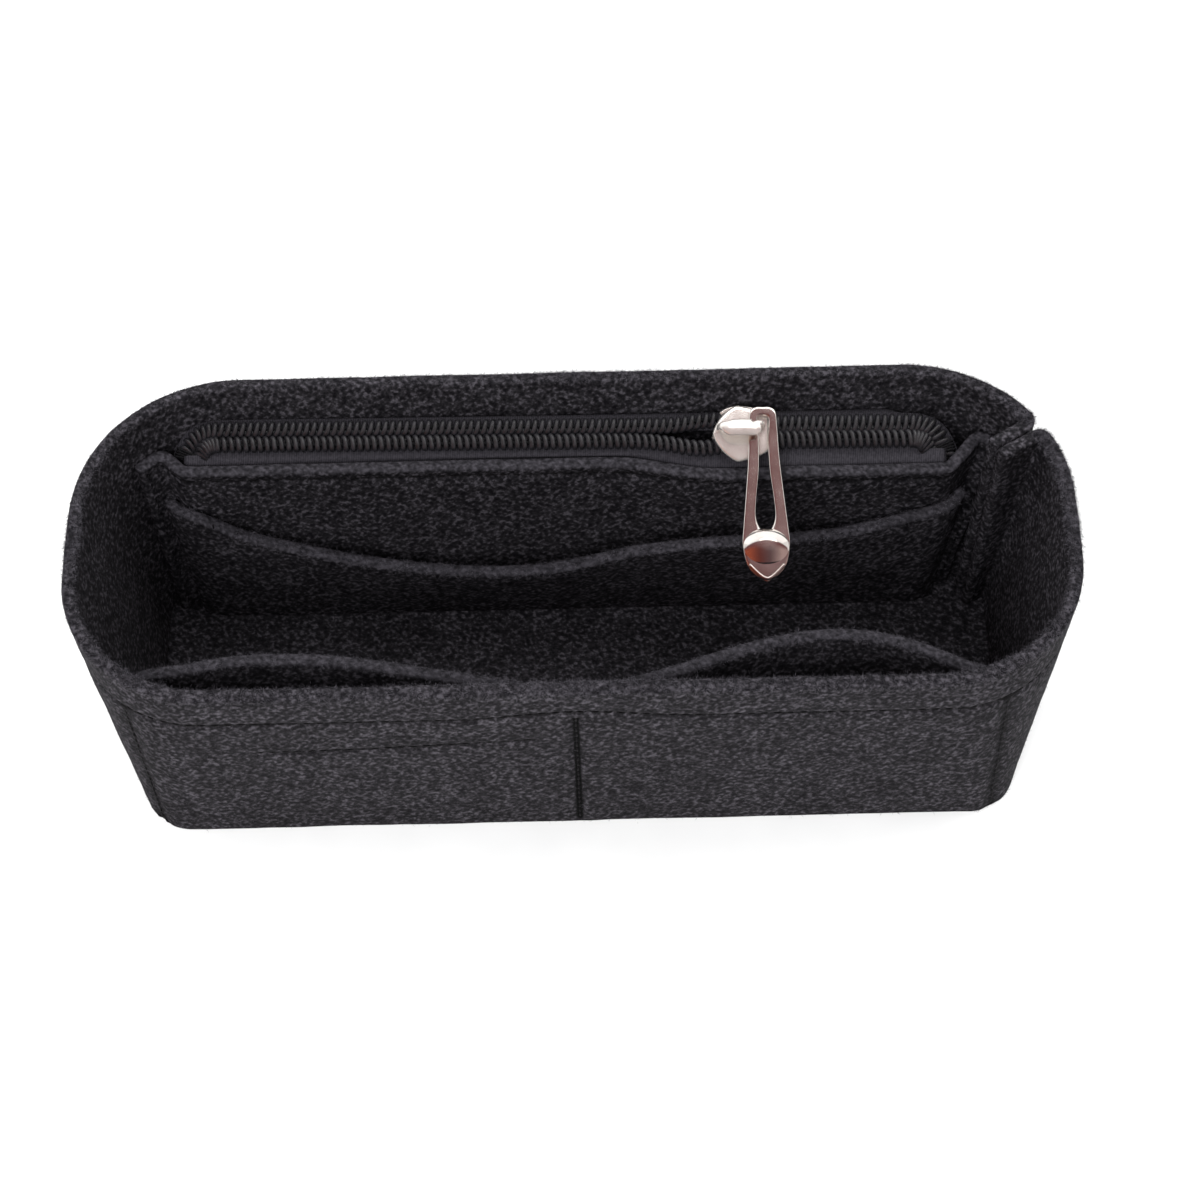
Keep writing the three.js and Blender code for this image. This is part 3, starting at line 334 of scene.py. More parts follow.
def smoothstep(value, low, high):
    """0 below low and 1 above high, with a level start and end: 3 p squared less 2 p cubed."""
    part = np.clip((value - low) / (high - low), 0, 1)
    return part * part * (3 - 2 * part)


def signed_power(values, exponent):
    """Each value's size raised to a power, with its sign kept."""
    return np.sign(values) * np.abs(values) ** exponent


def unit(vectors):
    """Vectors of length 1."""
    return vectors / np.maximum(np.linalg.norm(vectors, axis=-1, keepdims=True), 1e-12)


def full_turn(steps):
    """Angles of even steps round a circle, the first not repeated."""
    return np.linspace(0, 2 * math.pi, steps, endpoint=False)


def plane_points(*coordinates):
    """Points from coordinates of any shapes that fit together."""
    return np.stack(np.broadcast_arrays(*coordinates), axis=-1)


def spline(points, steps):
    """Catmull-Rom curve through the points: a cubic between each two, with half the step across as slope."""
    points = np.asarray(points, dtype=float)
    place = np.linspace(0, len(points) - 1, steps + 1)
    index = np.minimum(place.astype(int), len(points) - 2)
    part = (place - index)[:, None]
    before = points[np.maximum(index - 1, 0)]
    first = points[index]
    last = points[index + 1]
    after = points[np.minimum(index + 2, len(points) - 1)]
    start = (last - before) / 2
    end = (after - first) / 2
    cubic = 2 * first - 2 * last + start + end
    square = -3 * first + 3 * last - 2 * start - end
    return cubic * part**3 + square * part**2 + start * part + first


def value_noise(points, size, seed):
    """Smooth noise from -1 to 1: random values on a cubic lattice of this size, blended between corners."""
    table = np.random.default_rng(seed).uniform(-1, 1, 4096)
    scaled = points / size
    low = np.floor(scaled).astype(np.int64)
    part = scaled - low
    part = part * part * (3 - 2 * part)
    total = np.zeros(points.shape[:-1])
    for corner in np.ndindex(2, 2, 2):
        place = low + corner
        key = (place[..., 0] * 73856093) ^ (place[..., 1] * 19349663) ^ (place[..., 2] * 83492791)
        weight = np.prod(np.where(corner, part, 1 - part), axis=-1)
        total += table[key % len(table)] * weight
    return total


# Meshes

def add_object(name, data):
    """A new object in the scene."""
    thing = bpy.data.objects.new(name, data)
    bpy.context.scene.collection.objects.link(thing)
    return thing


def make_piece(name, points, faces, finish, body, nodes=(), attributes=None):
    """A smooth-shaded mesh object that rides on one body and stands for the named CAD nodes."""
    mesh = bpy.data.meshes.new(name)
    mesh.from_pydata(np.asarray(points).reshape(-1, 3).tolist(), [], list(faces))
    mesh.polygons.foreach_set("use_smooth", [True] * len(mesh.polygons))
    for key, values in (attributes or {}).items():
        layer = mesh.attributes.new(key, "FLOAT", "POINT")
        layer.data.foreach_set("value", np.asarray(values, dtype=np.float32).ravel())
    mesh.materials.append(shared_material(finish))
    mesh.update()
    piece = add_object(name, mesh)
    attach(piece, body)
    if nodes:
        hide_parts(*nodes)
    return piece


def grid_faces(index):
    """Four-sided faces between neighbours of grids of vertex numbers, facing along times up."""
    corners = [index[..., :-1, :-1], index[..., :-1, 1:], index[..., 1:, 1:], index[..., 1:, :-1]]
    return np.stack(corners, axis=-1).reshape(-1, 4)


def ring_closed(index):
    """A grid of vertex numbers whose rows run round, with each row's first number again at its end."""
    return np.concatenate([index, index[..., :1]], axis=-1)


def grid_normals(points):
    """Unit normals of a grid of points: the step along a row times the step up a column."""
    along = np.gradient(points, axis=1)
    up = np.gradient(points, axis=0)
    return unit(np.cross(along, up))


def edge_distance(points):
    """Distance of each grid point to the nearest side of its sheet, measured along rows and columns."""
    along = np.linalg.norm(np.diff(points, axis=1), axis=-1)
    up = np.linalg.norm(np.diff(points, axis=0), axis=-1)
    from_left = np.pad(np.cumsum(along, axis=1), ((0, 0), (1, 0)))
    from_foot = np.pad(np.cumsum(up, axis=0), ((1, 0), (0, 0)))
    from_side = np.minimum(from_left, from_left[:, -1:] - from_left)
    from_end = np.minimum(from_foot, from_foot[-1:] - from_foot)
    return np.minimum(from_side, from_end)


def edge_shares(run, edge, step):
    """Places from 0 to 1 along a run, close together where its two cut edges round over."""
    turn = np.linspace(0, math.pi / 2, EDGE_STEPS + 1)
    rounded = (1 - np.cos(turn) ** (2 / EDGE_POWER)) * edge / run
    inner = np.linspace(rounded[-1], 1 - rounded[-1], max(3, round(run / step)))
    return np.concatenate([rounded[:-1], inner, (1 - rounded[:-1])[::-1]])


def edge_rounding(distance, edge):
    """What is left of a sheet's thickness this far from its cut edge: (1 - (1 - d / edge)^p)^(1 / p)."""
    inward = 1 - np.minimum(distance / edge, 1)
    return (1 - inward**EDGE_POWER) ** (1 / EDGE_POWER)


def shell(middle, thickness, edge, dent):
    """Closed sheet round a grid of middle points, with how much each point belongs to a cut edge or a seam.

    Each face lies half the thickness off the middle along the normal, and the outer one less its dent. Near
    the sides the offset falls to zero on a superellipse, so that the cut edges are flat with round corners.
    """
    rows, columns = middle.shape[:2]
    inside = np.s_[1:-1, 1:-1]
    normals = grid_normals(middle)
    rounding = edge_rounding(edge_distance(middle), edge)
    half = thickness / 2
    outer = middle + normals * ((half - dent) * rounding)[..., None]
    inner = middle - normals * (half * rounding)[..., None]
    front = np.arange(rows * columns).reshape(rows, columns)
    back = front.copy()
    back[inside] = rows * columns + np.arange((rows - 2) * (columns - 2)).reshape(rows - 2, columns - 2)
    points = np.concatenate([outer.reshape(-1, 3), inner[inside].reshape(-1, 3)])
    faces = np.concatenate([grid_faces(front), grid_faces(back)[:, ::-1]])
    # Only the top edge gets the pale cut tone, which is partly painted light on the face that looks up
    from_top = np.linalg.norm(middle[-1:] - middle, axis=-1)
    cut = smoothstep(1 - np.minimum(from_top / edge, 1), 0.05, 0.75)
    # The dent also goes out as the sewn attribute, from which the felt paints shade into its grooves
    sewn = np.broadcast_to(dent, (rows, columns))
    return points, faces, {"cut": on_both(cut, cut), "sewn": on_both(sewn, 0 * sewn)}


def on_both(outer, inner):
    """Values for every point of a shell, from a grid of them for each of its faces."""
    return np.concatenate([outer.ravel(), inner[1:-1, 1:-1].ravel()])


def swept(path, reference, wide, thick, dome=0.0):
    """Closed solid along a path: a ring square to it at each point, and a point beyond each end.

    The section is given by its coordinates along the reference and square to it. The dome is how far the
    two end points stand out along the path.
    """
    along = unit(np.gradient(path, axis=0))
    first = unit(reference - (reference * along).sum(axis=-1, keepdims=True) * along)
    second = np.cross(along, first)
    rings = path[:, None] + first[:, None] * wide + second[:, None] * thick
    ends = path[[0, -1]] + along[[0, -1]] * [[-dome], [dome]]
    total, sides = rings.shape[:2]
    index = ring_closed(np.arange(total * sides).reshape(total, sides))
    start = np.stack([index[0, 1:], index[0, :-1], np.full(sides, total * sides)], axis=-1)
    stop = np.stack([index[-1, :-1], index[-1, 1:], np.full(sides, total * sides + 1)], axis=-1)
    points = np.concatenate([rings.reshape(-1, 3), ends])
    return points, grid_faces(index).tolist() + start.tolist() + stop.tolist()


def tube(path, radius, reference):
    """Round tube along a path, domed over at both ends."""
    turn = full_turn(THREAD_SIDES)[None, :, None]
    return swept(path, reference, radius * np.cos(turn), radius * np.sin(turn), radius * 0.6)


def bar(path, reference, sides, width, thickness, roundness=4):
    """Solid strip along a path with a rounded oblong section: a superellipse of the given power."""
    turn = full_turn(sides)[None, :, None]
    wide = signed_power(np.cos(turn), 2 / roundness) * np.reshape(width, (-1, 1, 1)) / 2
    thick = signed_power(np.sin(turn), 2 / roundness) * np.reshape(thickness, (-1, 1, 1)) / 2
    return swept(path, reference, wide, thick)


def disc_shell(top, foot):
    """Closed disc from two grids of spokes that share their last ring; the first ring is the middle."""
    rings, columns = top.shape[:2]
    upper = np.arange(rings * columns).reshape(rings, columns)
    upper[0] = upper[0, 0]
    lower = upper + rings * columns
    lower[-1] = upper[-1]
    faces = []
    for index, turned, at_middle in ((upper, 1, 3), (lower, -1, 0)):
        index = ring_closed(index)
        quads = np.stack([index[:-1, :-1], index[1:, :-1], index[1:, 1:], index[:-1, 1:]], axis=-1)
        quads = quads[..., ::turned]
        faces += np.delete(quads[0], at_middle, axis=-1).tolist()
        faces += quads[1:].reshape(-1, 4).tolist()
    return np.concatenate([top.reshape(-1, 3), foot.reshape(-1, 3)]), faces


def merged(parts):
    """One list of points and faces from several."""
    points = []
    faces = []
    total = 0
    for part_points, part_faces in parts:
        points.append(np.asarray(part_points).reshape(-1, 3))
        faces += [[corner + total for corner in face] for face in part_faces]
        total += len(points[-1])
    return np.concatenate(points), faces


# Tray surfaces

def half_length(tray, rise):
    """Half the tray's length at a rise of 0 at the base and 1 at the rim."""
    return tray.rim_length / 2 - tray.end_lean * (1 - rise)


def half_depth(tray, rise):
    """Half the tray's depth at a rise."""
    return tray.rim_depth / 2 - tray.side_lean * (1 - rise)


def corner_radius(tray, rise, side):
    """Corner radius at a rise, at the back for side 1 and in front for side -1."""
    return lerp(tray.base_corner, tray.rim_back_corner if side > 0 else tray.rim_front_corner, rise)


def corner_point(tray, rise, side_x, side_y, turn, inset):
    """Point on a corner arc: the corner's centre plus the radius less the inset, turned by an angle."""
    radius = corner_radius(tray, rise, side_y)
    x = side_x * (half_length(tray, rise) - radius) + (radius - inset) * np.cos(turn)
    y = side_y * (half_depth(tray, rise) - radius) + (radius - inset) * np.sin(turn)
    return plane_points(x, y)


def wall_y(tray, x, z, side, inset):
    """The wall's place in depth at an x: straight, or on the corner's circle.

    It is side times (half depth - radius + sqrt((radius - inset)^2 - o^2)), where o is how far x is past
    the corner's centre.
    """
    rise = z / tray.height
    radius = corner_radius(tray, rise, side)
    over = np.maximum(0, np.abs(x) - (half_length(tray, rise) - radius))
    reach = np.sqrt(np.maximum((radius - inset) ** 2 - over**2, 0))
    return side * (half_depth(tray, rise) - radius + reach)


def seam_turn(tray, rise):
    """The angle that the turned-in ends take up on each side of the corner seam."""
    half_fold = (tray.felt + tray.gap) / 2
    middle = corner_radius(tray, rise, 1) - tray.felt / 2
    return np.arcsin((half_fold + tray.seam_bend) / (middle - tray.seam_bend))


def joined(arcs, step):
    """One line in each row through several arcs, with points on the straight runs between them.

    The points crowd towards the middle of each run, where a seam may lie.
    """
    line = [arcs[0]]
    for arc in arcs[1:]:
        start, end = line[-1][:, -1:], arc[:, :1]
        span = np.linalg.norm(end - start, axis=-1).max()
        off_middle = np.linspace(-1, 1, 2 * max(1, round(span / step / 2)) + 1)[1:-1]
        shares = (1 + signed_power(off_middle, CROWDING)).reshape(1, -1, 1) / 2
        line += [start + (end - start) * shares, arc]
    return np.concatenate(line, axis=1)


def seam_direction(tray):
    """The corner seam's direction in plan, outwards from the corner's centre."""
    return np.array([math.cos(tray.seam_angle), math.sin(tray.seam_angle)])


def seam_fold(tray, rise, sign):
    """One turned-in end of the wall strip: straight along the seam, then a bend out to the outline."""
    radius = corner_radius(tray, rise, 1)
    turn = seam_turn(tray, rise)
    outward = seam_direction(tray)
    beside = np.array([-outward[1], outward[0]]) * sign
    centre = plane_points(half_length(tray, rise) - radius, half_depth(tray, rise) - radius)
    reach = radius - tray.felt / 2 - tray.seam_bend
    bend = lerp(-math.pi / 2, turn, np.linspace(0, 1, 9)[None])
    out = reach * np.cos(turn) + tray.seam_bend * np.cos(bend)
    side = reach * np.sin(turn) + tray.seam_bend * np.sin(bend)
    tip_out = radius - lerp(tray.base_seam_depth, tray.rim_seam_depth, rise)
    shares = edge_shares(tray.rim_seam_depth, tray.felt / 4, GRID_STEP * 2)[None, :-EDGE_STEPS - 1]
    straight_out = lerp(tip_out, out[:, :1], shares)
    straight_side = side[:, :1] + 0 * straight_out
    out = np.concatenate([straight_out, out], axis=1)[..., None]
    side = np.concatenate([straight_side, side], axis=1)[..., None]
    return centre + outward * out + beside * side


def outline_run(tray, rise, inset, margin, steps=26):
    """The tray's outline, anticlockwise from one side of the corner seam round to the other."""
    shares = np.linspace(0, 1, steps)[None]
    half = math.pi / 2
    corners = [
        (1, 1, tray.seam_angle + margin, half),
        (-1, 1, half, 2 * half),
        (-1, -1, 2 * half, 3 * half),
        (1, -1, 3 * half, 4 * half),
        (1, 1, 0, tray.seam_angle - margin),
    ]
    arcs = [
        corner_point(tray, rise, side_x, side_y, lerp(first, last, shares), inset)
        for side_x, side_y, first, last in corners
    ]
    return joined(arcs, GRID_STEP * 2)


def wall_path(tray, rise):
    """The wall strip in plan on its middle surface, from one turned-in end to the other."""
    run = outline_run(tray, rise, tray.felt / 2, seam_turn(tray, rise))
    start = seam_fold(tray, rise, 1)
    end = seam_fold(tray, rise, -1)[:, ::-1]
    return np.concatenate([start[:, :-1], run, end[:, 1:]], axis=1)


def raised(plan, z):
    """Rows of points in plan, each lifted to its own height."""
    return np.concatenate([plan, np.broadcast_to(z[..., None], plan.shape[:2] + (1,))], axis=-1)


# Pocket surfaces

def panel_foot(tray):
    """Height where the pocket panels stand on the base."""
    return tray.felt + tray.gap


def sewn_inset(tray):
    """From the wall's outer face to the middle of a layer sewn inside it."""
    return tray.felt * 1.5 + tray.gap


def side_seam_point(tray, pockets, side, z, inset, turn=0.0):
    """Point on a side seam of the front pockets: side is -1 left and 1 right, turned on by turn."""
    seam = (pockets.left_seam if side < 0 else pockets.right_seam) + turn
    return corner_point(tray, z / tray.height, side, -1, side * seam - math.pi / 2, inset)


def bulge_share(x, first, last, skew):
    """How far a front pocket stands off the wall: the sine of pi times the place to the power skew."""
    part = np.clip((x - first) / (last - first), 0, 1)
    return np.sin(math.pi * part**skew)


def front_panel_y(tray, pockets, x, z):
    """The front pocket panel: the wall's inside plus two bulges that grow evenly with height."""
    left_seam = side_seam_point(tray, pockets, -1, z, sewn_inset(tray))[..., 0]
    right_seam = side_seam_point(tray, pockets, 1, z, sewn_inset(tray))[..., 0]
    left = pockets.left_bulge * bulge_share(x, left_seam, -pockets.divider_hem, pockets.left_skew)
    right = pockets.right_bulge * bulge_share(x, 0 * z, right_seam, pockets.right_skew)
    top = tray.height - pockets.front_drop
    part = (z - panel_foot(tray)) / (top - panel_foot(tray))
    return wall_y(tray, x, z, -1, sewn_inset(tray)) + part * (left + right)


def zip_top(tray, pockets):
    """Height of the zip pocket's top edge."""
    return tray.height - pockets.zip_drop


def zip_share(tray, pockets, z):
    """A height as a share of the zip pocket's own height."""
    return (z - panel_foot(tray)) / (zip_top(tray, pockets) - panel_foot(tray))


def zip_ends(tray, pockets, z):
    """The zip pocket's left foot, left corner, right corner and right foot at a height, from the middle."""
    part = zip_share(tray, pockets, z)
    rim, base = half_length(tray, 1), half_length(tray, 0)
    pairs = [
        (pockets.left_foot_base, pockets.left_foot_top),
        (pockets.left_corner_base, pockets.left_corner_top),
        (pockets.right_corner_base, pockets.right_corner_top),
        (pockets.right_foot_base, pockets.right_foot_top),
    ]
    return [lerp(base - low, rim - high, part) for low, high in pairs]


def zip_panel_y(tray, pockets, x, z):
    """The zip pocket's front stretch: leans back from foot to top, with a smooth step in its top edge."""
    foot = half_depth(tray, 0) - pockets.zip_foot_inset
    left = half_depth(tray, 1) - pockets.zip_left_inset
    right = half_depth(tray, 1) - pockets.zip_right_inset
    top = lerp(left, right, smoothstep(x, pockets.zip_step_start, pockets.zip_step_end))
    return lerp(foot, top, zip_share(tray, pockets, z))


def fillet(before, corner, after, radius, steps=10):
    """Quadratic curve that rounds one corner of a path in each row, set back by radius / tan(half angle)."""
    back = unit(before - corner)
    on = unit(after - corner)
    half_angle = np.arccos(np.clip((back * on).sum(axis=-1), -1, 1)) / 2
    set_back = (radius / np.tan(half_angle))[..., None]
    first, last = corner + back * set_back, corner + on * set_back
    part = np.linspace(0, 1, steps).reshape(1, -1, 1)
    return first * (1 - part) ** 2 + 2 * corner * part * (1 - part) + last * part**2


def zip_corners(tray, pockets, z):
    """The zip pocket's left foot, left corner, front stretch, right corner and right foot in plan."""
    left_foot, left_corner, right_corner, right_foot = zip_ends(tray, pockets, z)
    first, last = pockets.corner_room - left_corner, right_corner - pockets.corner_room
    run = lerp(first, last, np.linspace(0, 1, 130)[None])
    return [
        plane_points(-left_foot, wall_y(tray, left_foot, z, 1, sewn_inset(tray))),
        plane_points(-left_corner, zip_panel_y(tray, pockets, -left_corner, z)),
        plane_points(run, zip_panel_y(tray, pockets, run, z)),
        plane_points(right_corner, zip_panel_y(tray, pockets, right_corner, z)),
        plane_points(right_foot, wall_y(tray, right_foot, z, 1, sewn_inset(tray))),
    ]


def zip_path(tray, pockets, z):
    """The zip pocket in plan, from the left flange round to the right flange."""
    left_foot, left_corner, front, right_corner, right_foot = zip_corners(tray, pockets, z)
    run = edge_shares(pockets.flange, tray.felt / 4, GRID_STEP)[None, :-EDGE_STEPS]

    def flange(foot, side):
        x = foot[..., 0] + side * lerp(pockets.flange, pockets.foot_fillet, run)
        return plane_points(x, wall_y(tray, x, z, 1, sewn_inset(tray)))

    left_flange, right_flange = flange(left_foot, -1), flange(right_foot, 1)[:, ::-1]
    arcs = [
        left_flange,
        fillet(left_flange[:, -1:], left_foot, left_corner, pockets.foot_fillet),
        fillet(left_foot, left_corner, front[:, :1], pockets.corner_fillet),
        front,
        fillet(front[:, -1:], right_corner, right_foot, pockets.corner_fillet),
        fillet(right_corner, right_foot, right_flange[:, :1], pockets.foot_fillet),
        right_flange,
    ]
    return joined(arcs, GRID_STEP)


def slip_edge_z(tray, pockets, x):
    """Height of the slip pocket's wavy top edge: a smooth curve through its points."""
    scale = np.array([tray.rim_length / 2, zip_top(tray, pockets)])
    edge = spline(np.array(SLIP_EDGE_SHARES) * scale, 200)
    return np.interp(x, edge[:, 0], edge[:, 1])


def slip_bow(tray, pockets, x, z):
    """How far the slip pocket stands off: a half sine wave across, growing evenly to the top edge."""
    _, left_corner, right_corner, _ = zip_ends(tray, pockets, z)
    across = np.clip((x + left_corner) / (right_corner + left_corner), 0, 1)
    up = (z - panel_foot(tray)) / (slip_edge_z(tray, pockets, x) - panel_foot(tray))
    return pockets.slip_bow * np.sin(math.pi * across) * up


def slip_path(tray, pockets, z):
    """The stretch of the zip pocket that the slip pocket lies on, with the start of each return."""
    left_foot, left_corner, front, right_corner, right_foot = zip_corners(tray, pockets, z)
    run = edge_shares(pockets.slip_return, tray.felt / 4, GRID_STEP)[None, : EDGE_STEPS + 1, None]
    left_start = left_corner + unit(left_foot - left_corner) * pockets.slip_return * (1 - run)
    right_start = right_corner + unit(right_foot - right_corner) * pockets.slip_return * (1 - run)
    arcs = [
        left_start,
        fillet(left_foot, left_corner, front[:, :1], pockets.corner_fillet),
        front,
        fillet(front[:, -1:], right_corner, right_foot, pockets.corner_fillet),
        right_start[:, ::-1],
    ]
    return np.concatenate(arcs, axis=1)


def slip_middle(tray, pockets):
    """The slip pocket's middle surface.

    Each column keeps its place along the zip pocket while its height runs up to the wavy edge. It lies a
    layer and a gap off the zip pocket, along the normal in plan, plus the bow towards the front.
    """
    top = np.full((1, 1), zip_top(tray, pockets))
    edge_z = slip_edge_z(tray, pockets, slip_path(tray, pockets, top)[..., 0])
    up = edge_shares(zip_top(tray, pockets) / 2, tray.felt * EDGE_SHARE, GRID_STEP)[:, None]
    z = lerp(panel_foot(tray), edge_z, up)
    levels = np.linspace(z.min(), z.max(), 12)[:, None]
    plans = slip_path(tray, pockets, levels)
    level_share = (z - levels[0]) / (levels[1] - levels[0])
    low = np.clip(level_share.astype(int), 0, len(levels) - 2)
    part = (level_share - low)[..., None]
    columns = np.arange(z.shape[1])[None]
    plan = lerp(plans[low, columns], plans[low + 1, columns], part)
    along = unit(np.gradient(plan, axis=1))
    forward = plane_points(along[..., 1], -along[..., 0])
    plan = plan + forward * (tray.felt + pockets.slip_gap)
    plan[..., 1] -= slip_bow(tray, pockets, plan[..., 0], z)
    return raised(plan, z)


# Stitch lines, which also press the grooves

def rim_stitch_z(tray, stitches, x, y):
    """Height of the upper stitch line: level, with a rise in the middle of the front."""
    lift = stitches.rim_lift * (0.5 + 0.5 * np.cos(math.pi * np.clip(x / stitches.rim_lift_half, -1, 1)))
    return tray.height - stitches.rim_drop + np.where(y < 0, lift, 0)


def lower_stitch_z(tray, stitches, x):
    """Height of the lower stitch line: it rises with the square of the way along."""
    part = np.clip((x + stitches.lower_left) / (stitches.lower_left - stitches.lower_right), 0, 1)
    return tray.height - stitches.lower_drop + stitches.lower_rise * part**2


def groove(distance, stitches):
    """Depth of a sewn groove at a distance from its seam: a bell curve."""
    return stitches.groove * np.exp(-((distance / stitches.groove_width) ** 2))


# Materials

def link_or_set(tree, node, inputs):
    """Each input of a node linked from a socket, or set to a value."""
    for key, value in inputs.items():
        if isinstance(value, bpy.types.NodeSocket):
            tree.links.new(value, node.inputs[key])
        else:
            node.inputs[key].default_value = value


def add_node(tree, kind, inputs, output=0, stops=(), **settings):
    """One output of a new node, which gets its settings, its inputs and, if a ramp, its stops."""
    node = tree.nodes.new("ShaderNode" + kind)
    for key, value in settings.items():
        setattr(node, key, value)
    link_or_set(tree, node, inputs)
    for number, (place, tone) in enumerate(stops):
        elements = node.color_ramp.elements
        element = elements[number] if number < len(elements) else elements.new(place)
        element.position = place
        element.color = tone
    return node.outputs[output]


def new_material(name):
    """A material, its node tree, its shader and a socket that gives the place on the piece."""
    material = bpy.data.materials.new(name)
    material.use_nodes = True
    tree = material.node_tree
    place = add_node(tree, "TexCoord", {}, "Object")
    return material, tree, tree.nodes["Principled BSDF"], place


def spots(place, millimetres, detail=2):
    """Inputs of a noise pattern whose spots are this wide."""
    return {"Vector": place, "Scale": 1000 / millimetres, "Detail": detail}


def wave_scale(millimetres):
    """Scale of a wave pattern with one wave in this width: the wave turns 20 radians in one unit."""
    return 1000 / millimetres * math.tau / 20


def charcoal_felt(colours):
    """Thick pressed charcoal felt: light and dark fibres in flecks of about 1 mm, paler on its cut top edges,
    partly from the cut fibres and partly as painted light where the edges face up to the lamps.

    The eye sees a mottled dark grey with no weave and hardly any gloss, and seams painted nearly black as the
    shade in their grooves. The single fibres are too fine to show, so they are drawn a third of a millimetre
    wide.
    """
    material, tree, shader, place = new_material("charcoal_pressed_felt")

    def dashes(tilt):
        turn = (math.radians(tilt / 2), math.radians(tilt), math.radians(tilt / 2))
        stretch = (1.5, 0.9, 1.2)
        drawn = {"Vector": place, "Rotation": turn, "Scale": stretch}
        turned = add_node(tree, "Mapping", drawn, vector_type="TEXTURE")
        return add_node(tree, "TexNoise", spots(turned, 0.9091, 1.3))

    flecks = add_node(tree, "Mix", {0: 0.5, 6: dashes(50), 7: dashes(-50)}, 2, data_type="RGBA")
    fibres = add_node(tree, "TexNoise", {**spots(place, 0.3333), "Roughness": 0.7})
    patches = add_node(tree, "TexNoise", spots(place, 7.692))
    tones = (
        (0.36, colours.felt_deep), (0.47, colours.felt_dark), (0.53, colours.felt_middle),
        (0.64, colours.felt_light),
    )
    skin = add_node(tree, "ValToRGB", {"Fac": flecks}, stops=tones)
    white = linear_colour("ffffff")
    for pattern, dark, dark_place, white_place in (
        (fibres, "b4b4b4", 0.35, 0.6),
        (patches, "dcdcdc", 0.35, 0.65),
    ):
        stops = ((dark_place, linear_colour(dark)), (white_place, white))
        shade = add_node(tree, "ValToRGB", {"Fac": pattern}, stops=stops)
        shaded = {0: 0.9, 6: skin, 7: shade}
        skin = add_node(tree, "Mix", shaded, 2, data_type="RGBA", blend_type="MULTIPLY")
    stops = ((0.36, colours.cut_dark), (0.64, colours.cut_light))
    pale = add_node(tree, "ValToRGB", {"Fac": flecks}, stops=stops)
    cut = add_node(tree, "Attribute", {}, "Fac", attribute_name="cut")
    cut_share = add_node(tree, "Math", {0: cut, 1: 0.8}, operation="MULTIPLY")
    skin = add_node(tree, "Mix", {0: cut_share, 6: skin, 7: pale}, 2, data_type="RGBA")
    # Painted shade: the deeper a seam's groove, the nearer the felt goes to the nearly black seam tone
    sewn = add_node(tree, "Attribute", {}, "Fac", attribute_name="sewn")
    deepest_dent = 0.0004545
    depth_share = add_node(tree, "Math", {0: sewn, 1: deepest_dent}, operation="DIVIDE")
    groove_shade_share = add_node(tree, "Math", {0: depth_share, 1: 3}, operation="POWER")
    skin = add_node(tree, "Mix", {0: groove_shade_share, 6: skin, 7: colours.seam}, 2, data_type="RGBA")
    height = add_node(tree, "Mix", {0: 0.4, 6: flecks, 7: fibres}, 2, data_type="RGBA")
    link_or_set(tree, shader, {
        "Base Color": skin,
        "Roughness": 0.95,
        "Specular IOR Level": 0.1,
        "Normal": add_node(tree, "Bump", {"Height": height, "Strength": 0.7, "Distance": 0.0004}),
    })
    return material


def black_thread(colours):
    """Black polyester sewing thread: a fine twist along it and a slight gloss."""
    material, tree, shader, place = new_material("black_polyester_thread")
    twist = add_node(tree, "TexNoise", spots(place, 0.2381))
    stops = ((0.35, colours.thread_dark), (0.65, colours.thread_light))
    link_or_set(tree, shader, {
        "Base Color": add_node(tree, "ValToRGB", {"Fac": twist}, stops=stops),
        "Roughness": 0.8,
        "Specular IOR Level": 0.2,
        "Normal": add_node(tree, "Bump", {"Height": twist, "Strength": 0.6, "Distance": 0.0001}),
    })
    return material


def woven_tape(colours):
    """Charcoal woven polyester zipper tape: close ribs 0.4 mm apart across it, dull and almost smooth."""
    material, tree, shader, place = new_material("charcoal_woven_tape")
    waves = {"Vector": place, "Scale": wave_scale(0.4028), "Distortion": 0.8, "Detail": 1}
    ribs = add_node(tree, "TexWave", waves, "Fac")
    fuzz = add_node(tree, "TexNoise", spots(place, 0.6667))
    weave = add_node(tree, "Mix", {0: 0.65, 6: ribs, 7: fuzz}, 2, data_type="RGBA")
    stops = ((0.3, colours.tape_dark), (0.7, colours.tape_light))
    link_or_set(tree, shader, {
        "Base Color": add_node(tree, "ValToRGB", {"Fac": weave}, stops=stops),
        "Roughness": 0.85,
        "Specular IOR Level": 0.15,
        "Normal": add_node(tree, "Bump", {"Height": weave, "Strength": 0.5, "Distance": 0.0001}),
    })
    return material


def black_nylon(colours):
    """Black nylon monofilament of the coils: smooth and glossy, with slight changes from tooth to tooth."""
    material, tree, shader, place = new_material("black_nylon_filament")
    haze = add_node(tree, "TexNoise", spots(place, 1.111, 3))
    stops = ((0.3, colours.nylon_dark), (0.7, colours.nylon_light))
    link_or_set(tree, shader, {
        "Base Color": add_node(tree, "ValToRGB", {"Fac": haze}, stops=stops),
        "Roughness": add_node(tree, "MapRange", {"Value": haze, "To Min": 0.32, "To Max": 0.46}),
        "Specular IOR Level": 0.65,
    })
    return material


